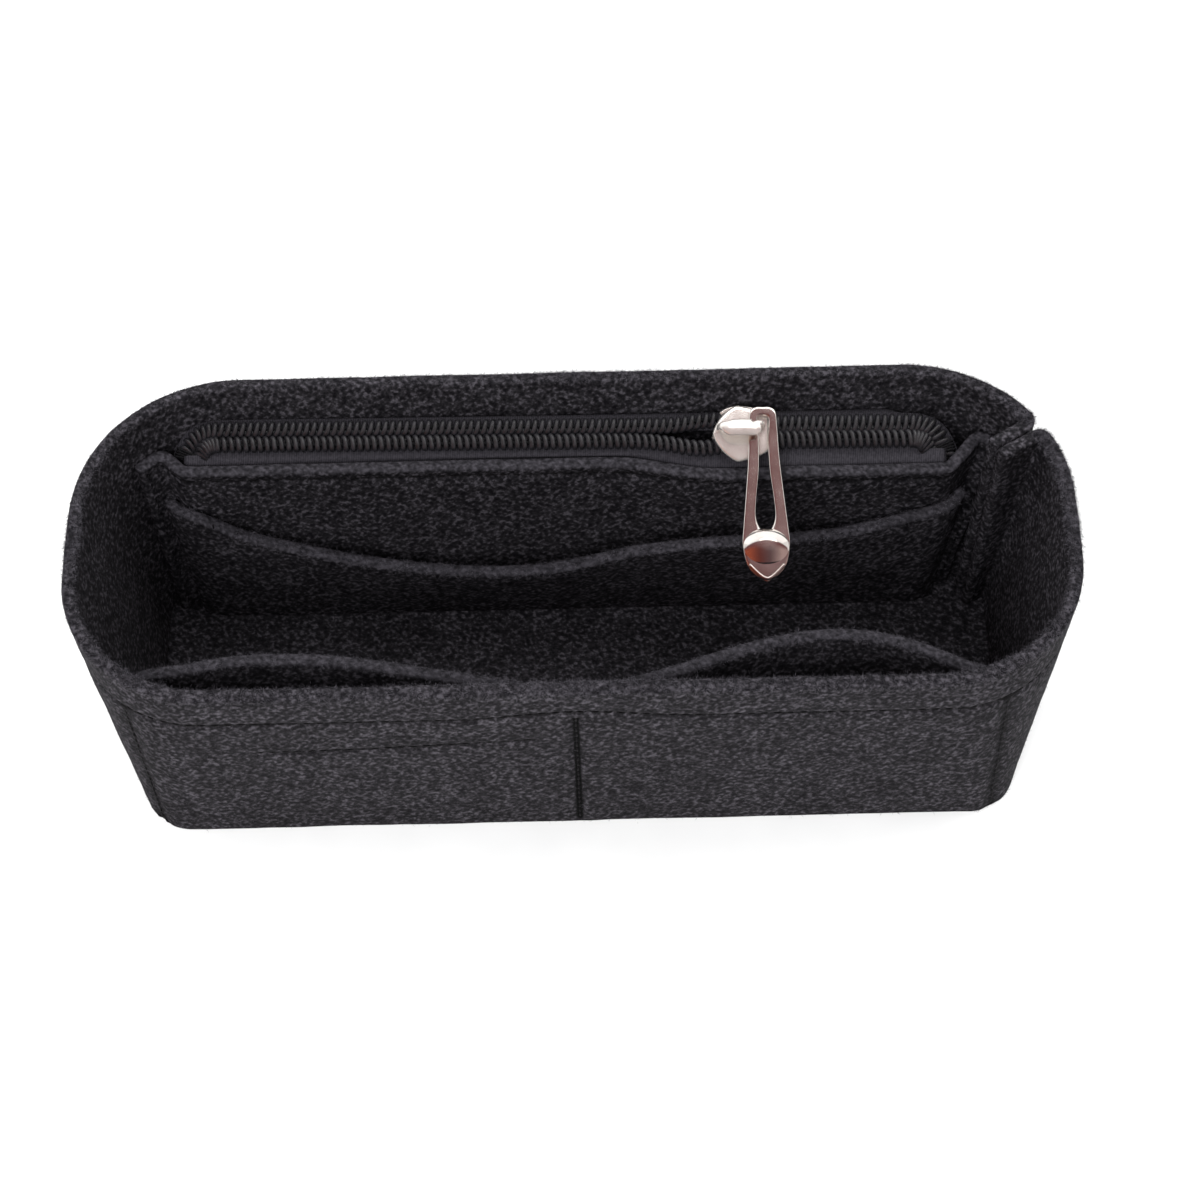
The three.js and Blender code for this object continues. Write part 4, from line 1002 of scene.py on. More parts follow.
def nickel(name, colours, smoothest, dullest, metallic):
    """Nickel plate between two roughnesses: a little warm, with faint polishing marks and dull patches."""
    material, tree, shader, place = new_material(name)
    haze = add_node(tree, "TexNoise", spots(place, 3.846, 4))
    marks = add_node(tree, "TexNoise", spots(place, 0.4545))
    stops = ((0.3, colours.nickel_dark), (0.7, colours.nickel_light))
    gloss = {"Value": haze, "To Min": smoothest, "To Max": dullest}
    link_or_set(tree, shader, {
        "Base Color": add_node(tree, "ValToRGB", {"Fac": haze}, stops=stops),
        "Metallic": metallic,
        "Roughness": add_node(tree, "MapRange", gloss),
        "Normal": add_node(tree, "Bump", {"Height": marks, "Strength": 0.15, "Distance": 0.00005}),
    })
    return material


def polished_nickel(colours):
    """Polished nickel of the pull: mirror bright, so that it takes the tones of the room."""
    return nickel("polished_nickel_plate", colours, 0.07, 0.18, 1)


def satin_nickel(colours):
    """Softer nickel of the slider's cast body: it spreads the light from above and looks white."""
    return nickel("satin_nickel_plate", colours, 0.12, 0.22, 0.76)


def loose_wool(colours):
    """Loose fibres on the felt's skin: fine grey hairs, matt, some tufts of them lighter."""
    material, tree, shader, place = new_material("loose_grey_fibres")
    tufts = add_node(tree, "TexNoise", spots(place, 1.4286))
    stops = ((0.35, colours.hair_dark), (0.65, colours.hair_light))
    link_or_set(tree, shader, {
        "Base Color": add_node(tree, "ValToRGB", {"Fac": tufts}, stops=stops),
        "Roughness": 0.95,
        "Specular IOR Level": 0.1,
    })
    return material


def matt_floor(colours):
    """Matt white studio floor with a faint unevenness, so that only the contact shadow shows."""
    material, tree, shader, place = new_material("matt_white_floor")
    patches = add_node(tree, "TexNoise", spots(place, 25))
    stops = ((0.3, colours.floor_dark), (0.7, colours.floor_light))
    link_or_set(tree, shader, {
        "Base Color": add_node(tree, "ValToRGB", {"Fac": patches}, stops=stops),
        "Roughness": 0.9,
        "Specular IOR Level": 0.0,
    })
    return material


MATERIALS = {}


def shared_material(finish):
    """A material made once, by the function for its finish, and used by every piece that has it."""
    if finish not in MATERIALS:
        MATERIALS[finish] = finish(bpy.context.scene.organizer_colours)
    return MATERIALS[finish]


# Felt

def unevenness(points, depth, seed):
    """Soft waves of the felt: coarse noise 11 mm across plus finer noise 3.5 mm across."""
    return depth * (value_noise(points, 0.011, seed) + 0.4 * value_noise(points, 0.0035, seed + 1))


def felt_piece(name, middle, felt, seed, dent, paleness=1.0):
    """A cut sheet of felt on a grid of middle points, a little uneven, as a piece of its own.

    Paleness says how much of the cut top edge's lighter tone, partly the cut fibres and partly painted light,
    shows, for the sheet or for each of its points.
    """
    wave = unevenness(middle, felt * 0.05, seed)
    wavy = middle + grid_normals(middle) * wave[..., None]
    points, faces, attributes = shell(wavy, felt, felt * EDGE_SHARE, dent)
    paleness = np.broadcast_to(paleness, middle.shape[:2])
    attributes["cut"] *= on_both(paleness, paleness)
    piece = make_piece(name + "_felt", points, faces, charcoal_felt, "tray", [name], attributes)


def wall_dent(context, middle, rise):
    """How far the seams press the wall's outer face in: two lines of stitches, the divider and the sides."""
    tray, pockets, stitches = settings_of(context, "tray", "pockets", "stitches")
    x, y, z = middle[..., 0], middle[..., 1], middle[..., 2]
    front = y < 0
    dent = groove(z - rim_stitch_z(tray, stitches, x, y), stitches)
    on_lower = front & (x > -stitches.lower_left) & (x < -stitches.lower_right)
    dent += np.where(on_lower, groove(z - lower_stitch_z(tray, stitches, x), stitches), 0)
    below_rim = front & (z < tray.height - stitches.rim_drop)
    dent += np.where(below_rim, 1.6 * groove(x, stitches), 0) * smoothstep(z, 0, tray.felt)
    for side in (-1, 1):
        seam = side_seam_point(tray, pockets, side, rise * tray.height, 0.0)
        away = np.hypot(x - seam[..., 0], y - seam[..., 1])
        dent += np.where(below_rim, groove(np.maximum(away - tray.felt / 2, 0), stitches), 0)
    return dent


def turned_in_share(tray, middle, rise):
    """1 on the wall strip's turned-in ends and 0 elsewhere, from the depth inside the corner's circle."""
    radius = corner_radius(tray, rise, 1)
    x = middle[..., 0] - half_length(tray, rise) + radius
    y = middle[..., 1] - half_depth(tray, rise) + radius
    depth = radius - np.hypot(x, y)
    return np.where((x > 0) & (y > 0), smoothstep(depth, tray.felt * 0.6, tray.felt * 1.5), 0)


class ORGANIZER_OT_wall(bpy.types.Operator):
    """The wall: one strip of felt wrapped round the base, with its two ends turned in at a rear corner"""

    bl_idname = "organizer.wall"
    bl_label = "Wall strip"

    def execute(self, context):
        tray = context.scene.organizer_tray
        rise = edge_shares(tray.height, tray.felt * EDGE_SHARE, GRID_STEP * 0.65)[:, None]
        middle = raised(wall_path(tray, rise), rise * tray.height)
        dent = wall_dent(context, middle, rise)
        # The wall's top edge keeps only a little of the pale tone, and none on the turned-in ends in the rear
        # corner, so that the corner stays dark: painted shade
        paleness = 0.15 * (1 - turned_in_share(tray, middle, rise))
        felt_piece("wall_band", middle, tray.felt, 11, dent, paleness)
        return {"FINISHED"}


class ORGANIZER_OT_base(bpy.types.Operator):
    """The base: a flat sheet of felt inside the foot of the wall strip"""

    bl_idname = "organizer.base"
    bl_label = "Base"

    def execute(self, context):
        tray = context.scene.organizer_tray
        edge = tray.felt * EDGE_SHARE
        half = tray.felt / 2
        rim = outline_run(tray, np.zeros((1, 1)), tray.felt * 0.7, 0.0)[0]
        rim = np.concatenate([rim, 0 * rim[:, :1]], axis=1)
        corner = np.array([half_length(tray, 0), half_depth(tray, 0)]) - tray.base_corner
        centre = np.append(corner - seam_direction(tray) * half_length(tray, 0) * 0.6, 0)
        shares = edge_shares(half_length(tray, 0), edge, GRID_STEP * 3)[EDGE_STEPS:]
        shares[0] = 0
        spokes = centre + (rim - centre) * shares[:, None, None]
        from_rim = np.linalg.norm(spokes - rim, axis=-1)
        rounding = edge_rounding(from_rim, edge)
        wave = unevenness(spokes, tray.felt * 0.03, 21) * np.minimum(from_rim / edge, 1)
        top = spokes + np.array(UP) * (half + half * rounding + wave)[..., None]
        foot = spokes + np.array(UP) * (half - half * rounding)[..., None]
        points, faces = disc_shell(top, foot)
        plain = np.zeros(2 * rim.shape[0] * len(shares))
        piece = make_piece(
            "base_panel_felt", points, faces, charcoal_felt, "tray", ["base_panel"],
            {"cut": plain, "sewn": plain},
        )
        return {"FINISHED"}


class ORGANIZER_OT_front_pockets(bpy.types.Operator):
    """The two front pockets: one panel of felt that bulges twice into the tray"""

    bl_idname = "organizer.front_pockets"
    bl_label = "Front pockets"

    def execute(self, context):
        tray, pockets, stitches = settings_of(context, "tray", "pockets", "stitches")
        edge = tray.felt * EDGE_SHARE
        top = tray.height - pockets.front_drop
        z = lerp(panel_foot(tray), top, edge_shares(top, edge, GRID_STEP)[:, None])
        left, right = (
            side_seam_point(tray, pockets, side, z, sewn_inset(tray), pockets.side_hem)[..., 0]
            for side in (-1, 1)
        )
        x = lerp(left, right, edge_shares(2 * half_length(tray, 1), edge, GRID_STEP)[None])
        middle = plane_points(x, front_panel_y(tray, pockets, x, z), z)[:, ::-1]
        dent = 1.5 * groove(middle[..., 0], stitches)
        felt_piece("front_pocket_panel", middle, tray.felt, 31, dent)
        return {"FINISHED"}


class ORGANIZER_OT_zip_pocket(bpy.types.Operator):
    """The zip pocket: one sheet of felt bent back to the wall at both ends"""

    bl_idname = "organizer.zip_pocket"
    bl_label = "Zip pocket"

    def execute(self, context):
        tray, pockets, stitches = settings_of(context, "tray", "pockets", "stitches")
        top = zip_top(tray, pockets)
        up = edge_shares(top, tray.felt * EDGE_SHARE, GRID_STEP)[:, None]
        z = lerp(panel_foot(tray), top, up)
        middle = raised(zip_path(tray, pockets, z), z)
        dent = groove(top - stitches.tape_drop - middle[..., 2], stitches)
        felt_piece("zip_pocket_panel", middle, tray.felt, 41, dent)
        return {"FINISHED"}


class ORGANIZER_OT_slip_pocket(bpy.types.Operator):
    """The slip pocket: a sheet of felt with a wavy top edge, sewn in front of the zip pocket"""

    bl_idname = "organizer.slip_pocket"
    bl_label = "Slip pocket"

    def execute(self, context):
        tray, pockets, stitches = settings_of(context, "tray", "pockets", "stitches")
        middle = slip_middle(tray, pockets)
        x, z = middle[..., 0], middle[..., 2]
        _, left_corner, right_corner, _ = zip_ends(tray, pockets, z)
        dent = groove(x + left_corner - stitches.side_inset, stitches)
        dent += groove(x - right_corner + stitches.side_inset, stitches)
        felt_piece("slip_pocket_panel", middle, tray.felt, 51, dent)
        return {"FINISHED"}


# The chain's own frame: x along the zipper, y across it to the back, z square to its plane

def chain_matrix(context):
    """Where the chain lies: tilted about its own length, turned in plan, then moved into the tray."""
    tray, pockets, zipper = settings_of(context, "tray", "pockets", "zipper")
    place = (zipper.x, tray.rim_depth / 2 - zipper.inset, zip_top(tray, pockets) + zipper.rise)
    turn = Matrix.Rotation(zipper.skew, 4, "Z") @ Matrix.Rotation(zipper.tilt, 4, "X")
    return np.array(Matrix.Translation(place) @ turn)


def placed(points, matrix):
    """Points moved by a matrix of four by four."""
    return points @ matrix[:3, :3].T + matrix[:3, 3]


def chain_half(context):
    """Half the straight length of the chain."""
    tray, zipper = settings_of(context, "tray", "zipper")
    return tray.rim_length / 2 - zipper.end_inset


def chain_reach(context):
    """Half the length of the chain with its end bends."""
    zipper = context.scene.organizer_zipper
    return chain_half(context) + zipper.end_radius * zipper.end_sweep


def slider_place(context):
    """Place of the slider along the chain."""
    return chain_half(context) - context.scene.organizer_slider.from_end


def chain_plan(context, distance, side):
    """Point of the chain in its plane: straight in the middle, bent round to the front at both ends."""
    zipper = context.scene.organizer_zipper
    half = chain_half(context)
    turn = np.maximum(np.abs(distance) - half, 0) / zipper.end_radius
    reach = zipper.end_radius + side
    along = np.sign(distance) * (np.minimum(np.abs(distance), half) + reach * np.sin(turn))
    return along, reach * np.cos(turn) - zipper.end_radius


def chain_dip(context, distance):
    """How far the chain goes down in its end bends: a smooth step over the last two thirds of each bend."""
    zipper = context.scene.organizer_zipper
    bend = zipper.end_radius * zipper.end_sweep
    return -zipper.end_dip * smoothstep(np.abs(distance) - chain_half(context), bend / 3, bend)


def on_chain(context, distance, side, height):
    """Points in the tray for places along the chain, across it and over its plane."""
    along, depth = chain_plan(context, distance, side)
    return placed(plane_points(along, depth, height + chain_dip(context, distance)), chain_matrix(context))


def closed_width(context, distance):
    """The chain's width as a share: more behind the slider, where it is closed and lies flat."""
    zipper, slider = settings_of(context, "zipper", "slider")
    behind = distance - slider_place(context)
    return 1 + zipper.closed_spread * smoothstep(behind, 0, slider.size_x / 2)


def crowded(context, distance):
    """Distance with the turns drawn together in the end bends, so that the outer coil's stay as close."""
    zipper = context.scene.organizer_zipper
    past = np.maximum(np.abs(distance) - chain_half(context), 0)
    spread = zipper.end_radius + zipper.outer
    return distance - np.sign(distance) * past * zipper.outer / spread


def coil_shift(context, distance, side):
    """How far a coil stands off the closed chain: apart at the slider's nose, loose beyond it."""
    zipper, slider = settings_of(context, "zipper", "slider")
    ahead = slider_place(context) - distance
    wedge = slider.size_x / 7
    parted = smoothstep(ahead, -wedge, wedge)
    settled = smoothstep(ahead, slider.size_x / 2, zipper.settled_ahead)
    bowed = np.exp(-(((ahead - slider.size_x * 0.95) / (slider.size_x * 0.55)) ** 2))
    dip = zipper.front_dip * bowed if side < 0 else 0
    return lerp(zipper.nose_shift * parted, zipper.open_shift, settled) + dip


def coil_filament(context, side, turns):
    """Middle line of one coil's filament, and its radius.

    It is a helix with a flattened section: cosines across and sines up, each drawn towards 1 by a power
    below 1, and slanted a little along the chain. The rear coil runs half a turn behind, so that the heads
    interlock.
    """
    zipper = context.scene.organizer_zipper
    turn = np.arange(turns * COIL_STEPS + 1) / COIL_STEPS
    phase = 2 * math.pi * turn
    offset = 0.5 if side > 0 else 0.0
    slant = 0.16 * np.sin(phase) * zipper.pitch
    distance = crowded(context, (turn - turns / 2 + offset) * zipper.pitch + slant)
    middle = (zipper.outer - zipper.overlap) / 2
    half_width = (zipper.outer + zipper.overlap) / 2 - zipper.filament
    half_height = zipper.coil_height / 2 - zipper.filament
    across = side * (middle - half_width * signed_power(np.cos(phase), 0.8)) * closed_width(context, distance)
    across += side * coil_shift(context, distance, side)
    height = zipper.seat + zipper.coil_height / 2 + half_height * signed_power(np.sin(phase), 0.7)
    return on_chain(context, distance, across, height)


def coil_core(context, side, reach):
    """Middle line of the cord that runs through one coil."""
    zipper = context.scene.organizer_zipper
    ends = reach / zipper.pitch
    distance = crowded(context, np.arange(1 - ends, ends, 0.25) * zipper.pitch)
    middle = (zipper.outer - zipper.overlap) / 2
    across = side * middle * 1.15 * closed_width(context, distance)
    across += side * coil_shift(context, distance, side)
    return on_chain(context, distance, across, zipper.seat + zipper.coil_height / 2)


class ORGANIZER_OT_coils(bpy.types.Operator):
    """The two coils: flattened helices of nylon filament whose heads interlock along the middle"""

    bl_idname = "organizer.coils"
    bl_label = "Zipper coils"

    def execute(self, context):
        zipper = context.scene.organizer_zipper
        along, _, up, _ = chain_matrix(context)[:3].T
        reach = chain_half(context) + (zipper.end_radius + zipper.outer) * zipper.end_sweep
        turns = int(2 * reach / zipper.pitch) - 1
        core_radius = zipper.coil_height / 2 - zipper.filament * 1.2
        for side, name in ((-1, "zipper_coil_front"), (1, "zipper_coil_rear")):
            points, faces = tube(coil_filament(context, side, turns), zipper.filament, up + 0.3 * along)
            make_piece(name + "_filament", points, faces, black_nylon, "tray", [name])
            points, faces = tube(coil_core(context, side, reach), core_radius, up)
            make_piece(name + "_core", points, faces, black_thread, "tray")
        return {"FINISHED"}


def tape_piece(name, rows, thickness):
    """A closed woven strip through rows of points, rounded through its bends."""
    lines = np.stack(rows, axis=1)
    curve = np.stack([spline(line, 36) for line in lines], axis=1)
    points, faces, _ = shell(curve, thickness, thickness * 0.4, 0.0)
    piece = make_piece(name + "_weave", points, faces, woven_tape, "tray", [name])


def front_tape_rows(context):
    """The front tape: from under the coil to the bend, then down behind the zip pocket.

    It bows out with the open coil, and past the chain's ends only the turned-down strip goes on.
    """
    tray, pockets, zipper = settings_of(context, "tray", "pockets", "zipper")
    matrix = chain_matrix(context)
    straight = chain_half(context)
    half = straight + zipper.front_run
    x = lerp(-half, half, np.linspace(0, 1, 150))
    bow = np.maximum(coil_shift(context, x, -1) - zipper.open_shift, 0)
    past = smoothstep(np.abs(x), straight - zipper.tape_edge, straight + zipper.tape_edge)
    inner = lerp(zipper.tape_edge + bow, zipper.front_flat * 0.9, past)
    bend = placed(plane_points(x, -zipper.front_flat, 0), matrix)
    rows = [placed(plane_points(x, -inner, 0), matrix), bend]
    off = tray.felt / 2 + tray.gap + zipper.tape / 2
    for drop in (zipper.front_turn, (zipper.front_turn + zipper.front_drop) / 2, zipper.front_drop):
        z = np.full(len(x), zip_top(tray, pockets) - drop)
        rows.append(plane_points(bend[:, 0], zip_panel_y(tray, pockets, bend[:, 0], z) + off, z))
    return rows


def rear_tape_rows(context):
    """The rear tape: round the end bends with the coil, and down against the back wall between them."""
    tray, zipper = settings_of(context, "tray", "zipper")
    straight = chain_half(context)
    reach = chain_reach(context)
    distance = lerp(-reach, reach, np.linspace(0, 1, 190))
    bend = on_chain(context, distance, zipper.rear_flat, 0)
    rows = [on_chain(context, distance, zipper.tape_edge, 0), bend]
    at_wall = 1 - smoothstep(np.abs(distance), straight - zipper.end_radius, straight)
    seat = tray.gap + zipper.tape / 2
    for drop in (zipper.rear_turn, (zipper.rear_turn + zipper.rear_drop) / 2, zipper.rear_drop):
        z = bend[:, 2] - drop
        wall = wall_y(tray, bend[:, 0], z, 1, tray.felt + seat)
        rows.append(plane_points(bend[:, 0], lerp(bend[:, 1], wall, at_wall), z))
    return rows


class ORGANIZER_OT_tapes(bpy.types.Operator):
    """The two woven tapes: one runs down behind the zip pocket's top edge, one down against the back wall"""

    bl_idname = "organizer.tapes"
    bl_label = "Zipper tapes"

    def execute(self, context):
        thickness = context.scene.organizer_zipper.tape
        tape_piece("zipper_tape_front", front_tape_rows(context), thickness)
        tape_piece("zipper_tape_rear", rear_tape_rows(context), thickness)
        return {"FINISHED"}


class ORGANIZER_OT_tacks(bpy.types.Operator):
    """The end tacks: four wraps of thread over both coils at each end of the chain"""

    bl_idname = "organizer.tacks"
    bl_label = "End tacks"

    def execute(self, context):
        zipper, stitches = settings_of(context, "zipper", "stitches")
        wraps = 4
        steps = 24
        phase = np.linspace(0, 2 * math.pi * wraps, steps * wraps + 1)
        half_width = zipper.outer + zipper.open_shift + stitches.thread * 1.5
        half_height = (zipper.seat + zipper.coil_height) / 2
        across = half_width * signed_power(np.cos(phase), 0.5)
        height = half_height * (1 + signed_power(np.sin(phase), 0.5)) + stitches.thread
        middle = chain_reach(context) - zipper.tack_length
        distance = middle + zipper.tack_length * (phase / phase[-1] - 0.5)
        for side, name in ((-1, "zipper_tack_left"), (1, "zipper_tack_right")):
            path = on_chain(context, side * distance, across, height)
            points, faces = tube(path, stitches.thread, chain_matrix(context)[:3, 0])
            make_piece(name + "_wraps", points, faces, black_thread, "tray", [name])
        return {"FINISHED"}


# Slider and pull

def mirrored_outline(shares, along, across, steps=40):
    """Both sides of an outline, anticlockwise: the curve through one side's shares and its mirror image."""
    side = spline(np.array(shares) * [along, across], steps)
    return side, side[::-1] * [1, -1]


def closed_outline(side, other):
    """One closed outline of both sides, with even points across the flat end between them."""
    outline = np.concatenate([side, other[1:]])
    flat = np.linspace(outline[-1], outline[0], 8)[1:-1]
    return np.concatenate([outline, flat])


def pillow(outline, low, high, crown, edge):
    """Closed plate of one outline: flat below, crowned above, its rim rounded on a quarter circle."""
    centre = outline.mean(axis=0)
    span = np.linalg.norm(outline - centre, axis=-1).min()
    turn = np.linspace(0, math.pi / 2, 7)
    inner = np.linspace(0, 1 - edge / span, 10)[:-1]
    shares = np.concatenate([inner, 1 - edge / span * (1 - np.sin(turn))])
    rounding = np.concatenate([np.ones(len(inner)), np.cos(turn)])
    middle = (low + high) / 2
    half = (high - low) / 2
    rings = centre + (outline - centre) * shares[:, None, None]
    swell = crown * (1 - shares**2) * (shares < 1)
    upper_z = (middle + half * rounding + swell)[:, None]
    lower_z = (middle - half * rounding)[:, None]
    top = plane_points(rings[..., 0], rings[..., 1], upper_z)
    foot = plane_points(rings[..., 0], rings[..., 1], lower_z)
    return disc_shell(top, foot)


def slider_levels(context):
    """Heights over the chain: the upper plate's two faces, the pull, the bridge and the lower plate."""
    zipper, slider = settings_of(context, "zipper", "slider")
    plate_low = zipper.seat + zipper.coil_height + slider.running_gap
    plate_top = plate_low + slider.plate
    pull_low = plate_top + slider.pull_gap
    bridge_low = pull_low + slider.pull_plate + slider.pull_gap
    lower_top = -zipper.tape / 2 - slider.running_gap
    return plate_low, plate_top, pull_low, bridge_low, lower_top


def slider_matrix(context):
    """The slider's frame: the chain's, moved along it."""
    return chain_matrix(context) @ np.array(Matrix.Translation((slider_place(context), 0, 0)))


def slider_flange(context, run):
    """One turned-in side of the slider, along a side's run of its outline."""
    zipper, slider = settings_of(context, "zipper", "slider")
    plate_low = slider_levels(context)[0]
    run = run[(run[:, 0] < slider.size_x * 0.44) & (run[:, 0] > -slider.size_x * 0.36)]
    low = zipper.tape / 2 + slider.running_gap
    middle_z = (low + plate_low + slider.plate * 0.4) / 2
    inset = np.sign(run[0, 1]) * slider.plate * 0.45
    path = plane_points(run[:, 0], run[:, 1] - inset, middle_z)
    return bar(path, UP, 16, plate_low + slider.plate * 0.6 - low, slider.plate * 0.8)


def slider_bridge(context):
    """The bridge: an arch from the nose over the pull's eye, narrowed to a post where the eye turns.

    It stands on the plate at both ends and runs forward of the posts between them.
    """
    slider = context.scene.organizer_slider
    _, plate_top, _, bridge_low, _ = slider_levels(context)
    level = bridge_low + slider.bridge / 2 + slider.bridge_width * slider.bridge_lean / 2
    foot = plate_top - slider.plate / 2
    nose, tail, post = -slider.nose_post, slider.tail_post, slider.post
    route = [
        (nose - post, foot),
        (nose - post * 0.7, lerp(plate_top, level, 0.65)),
        (nose + post * 1.2, level),
        (0, level + slider.bridge * 0.25),
        (tail - post * 1.6, level),
        (tail - post * 0.3, lerp(plate_top, level, 0.75)),
        (tail, lerp(plate_top, level, 0.4)),
        (tail, foot),
    ]
    x, z = spline(route, 60).T
    at_post = smoothstep(x, tail - post * 2.6, tail - post)
    at_nose = 1 - smoothstep(x, nose - post, nose + post * 2.6)
    forward = slider.forward * (1 - at_post) * (1 - 0.6 * at_nose)
    swell = np.sin(math.pi * np.linspace(0, 1, len(x))) ** 0.6
    width = slider.bridge_width * lerp(0.62, 1, swell)
    width = lerp(width, post * 1.4, np.maximum(at_post, at_nose * 0.8))
    depth = lerp(slider.bridge, min(slider.bridge, post * 1.4), at_post)
    return bar(plane_points(x, -forward, z), (0, 1.0, -slider.bridge_lean), 40, width, depth, 2.6)


class ORGANIZER_OT_slider(bpy.types.Operator):
    """The slider: two rounded plates with turned-in sides, a wedge, and the bridge over the pull's eye"""

    bl_idname = "organizer.slider"
    bl_label = "Slider"

    def execute(self, context):
        slider = context.scene.organizer_slider
        plate_low, plate_top, _, _, lower_top = slider_levels(context)
        half_x = slider.size_x / 2
        cover = closed_outline(*mirrored_outline(SLIDER_COVER_SHARES, half_x, slider.cover / 2))
        cover = cover - [0, slider.forward]
        side, other = mirrored_outline(SLIDER_OUTLINE_SHARES, half_x, slider.size_y / 2)
        lower = closed_outline(side, other) * [1, slider.lower_width / slider.size_y]
        wedge_z = np.linspace(lower_top - slider.plate / 2, plate_low, 5)
        wedge = plane_points(-slider.size_x / 4, 0, wedge_z)
        points, faces = merged([
            pillow(cover, plate_low, plate_top, slider.pull_gap * 0.8, slider.plate * 0.45),
            pillow(lower, lower_top - slider.plate, lower_top, 0, slider.plate * 0.4),
            slider_flange(context, side),
            slider_flange(context, other[::-1]),
            slider_bridge(context),
            bar(wedge, RIGHT, 16, slider.size_x * 0.35, slider.post * 1.7),
        ])
        points = placed(points, slider_matrix(context))
        make_piece("slider_body_nickel", points, faces, satin_nickel, "slider", ["slider_body"])
        return {"FINISHED"}


def loop_outline(slider, shares):
    """A closed outline of the pull, from the shares of one of its sides."""
    side, other = mirrored_outline(shares, slider.pull_length, slider.pull_width / 2, 90)
    return np.concatenate([side, other[1:-1]])


def pull_loop(slider, level):
    """The pull's closed loop: a superellipse section that spans from the hole's outline to the outer one."""
    outer, hole = loop_outline(slider, PULL_OUTLINE_SHARES), loop_outline(slider, PULL_HOLE_SHARES)
    turn = full_turn(28)[None]
    across = signed_power(np.cos(turn), 0.45)
    rise = signed_power(np.sin(turn), 0.45)
    middle, reach = (outer + hole) / 2, (outer - hole) / 2
    ring_x = middle[:, :1] + reach[:, :1] * across
    ring_y = middle[:, 1:] + reach[:, 1:] * across
    rings = plane_points(ring_x, ring_y, level + slider.pull_plate / 2 * rise)
    index = np.arange(ring_x.size).reshape(ring_x.shape)
    index = ring_closed(np.concatenate([index, index[:1]]))
    return rings, grid_faces(index)[:, ::-1].tolist()


def pull_bead(slider, level):
    """The domed bead: an oval whose height falls from its middle with a power of the sine of the lift."""
    lift = np.linspace(0, math.pi / 2, 14)[:, None]
    turn = full_turn(40)[None]
    x = slider.bead_x + slider.bead_half_length * np.sin(lift) * np.cos(turn)
    y = slider.bead_half_width * np.sin(lift) * np.sin(turn)
    rim = level + slider.pull_plate / 2 * 0.9
    dome = plane_points(x, y, rim + slider.bead_height * (1 - np.sin(lift) ** 2.4))
    return disc_shell(dome, plane_points(x, y, level))


def pull_ridge(slider, level):
    """The raised ridge round the pull's point."""
    x, y = spline(np.array(PULL_RIDGE_SHARES) * [slider.pull_length, slider.pull_width], 40).T
    return tube(plane_points(x, y, level + slider.pull_plate / 2), slider.pull_plate * 0.3, UP)


class ORGANIZER_OT_pull(bpy.types.Operator):
    """The pull: a long raindrop loop with rounded edges, a domed bead and a ridged point"""

    bl_idname = "organizer.pull"
    bl_label = "Pull"

    def execute(self, context):
        slider = context.scene.organizer_slider
        level = slider_levels(context)[2] + slider.pull_plate / 2
        points, faces = merged([shape(slider, level) for shape in (pull_loop, pull_bead, pull_ridge)])
        hung = plane_points(points[:, 1] + slider.tail_post, -points[:, 0], points[:, 2])
        points = placed(hung, slider_matrix(context))
        make_piece("slider_pull_nickel", points, faces, polished_nickel, "pull", ["slider_pull"])
        return {"FINISHED"}


# Stitches

def stitch_row(node, path, outward, stitches):
    """Separate stitches along a path, in the piece that stands for one CAD node.

    Each stitch is a capsule: rings of radius r sqrt(1 - s^2) at s from -1 to 1 along it, and it dips into
    the felt at both ends by the square of s.
    """
    steps = np.linalg.norm(np.diff(path, axis=0), axis=-1)
    travelled = np.concatenate([[0], np.cumsum(steps)])
    total = max(1, int(travelled[-1] / stitches.pitch))
    pitch = travelled[-1] / total
    half = (pitch - stitches.gap) / 2
    part = np.sin(np.linspace(-math.pi / 2, math.pi / 2, STITCH_RINGS))
    middles = (np.arange(total) + 0.5) * pitch
    places = np.clip(middles[:, None] + half * part, 0, travelled[-1])
    centre, out = (
        np.stack([np.interp(places, travelled, values[:, axis]) for axis in range(3)], axis=-1)
        for values in (path, np.broadcast_to(outward, path.shape))
    )
    out = unit(out)
    beside = np.cross(unit(np.gradient(centre, axis=1)), out)
    radius = stitches.thread * np.sqrt(np.maximum(1 - part**2, 0))[:, None, None]
    dip = stitches.thread * 1.4 * part[:, None] ** 2
    turn = full_turn(STITCH_SIDES)[:, None]
    spokes = out[:, :, None] * np.cos(turn) + beside[:, :, None] * np.sin(turn)
    rings = (centre - out * dip)[:, :, None] + radius * spokes
    index = ring_closed(np.arange(rings[..., 0].size).reshape(rings.shape[:3]))
    make_piece(node + "_thread", rings, grid_faces(index), black_thread, "tray", [node])


def row_round_tray(tray, z, margin_share, sink):
    """A level line round the tray, sunk in its outer face, with the face's normals.

    It stops short of the corner seam by a share of the angle that the turned-in ends take up.
    """
    rise = np.full((1, 1), z / tray.height)
    plan = outline_run(tray, rise, sink, seam_turn(tray, rise) * margin_share)
    line = raised(plan, np.full((1, plan.shape[1]), z))
    normal = grid_normals(np.concatenate([line, line + [0, 0, 0.001]]))[0]
    return line[0], normal


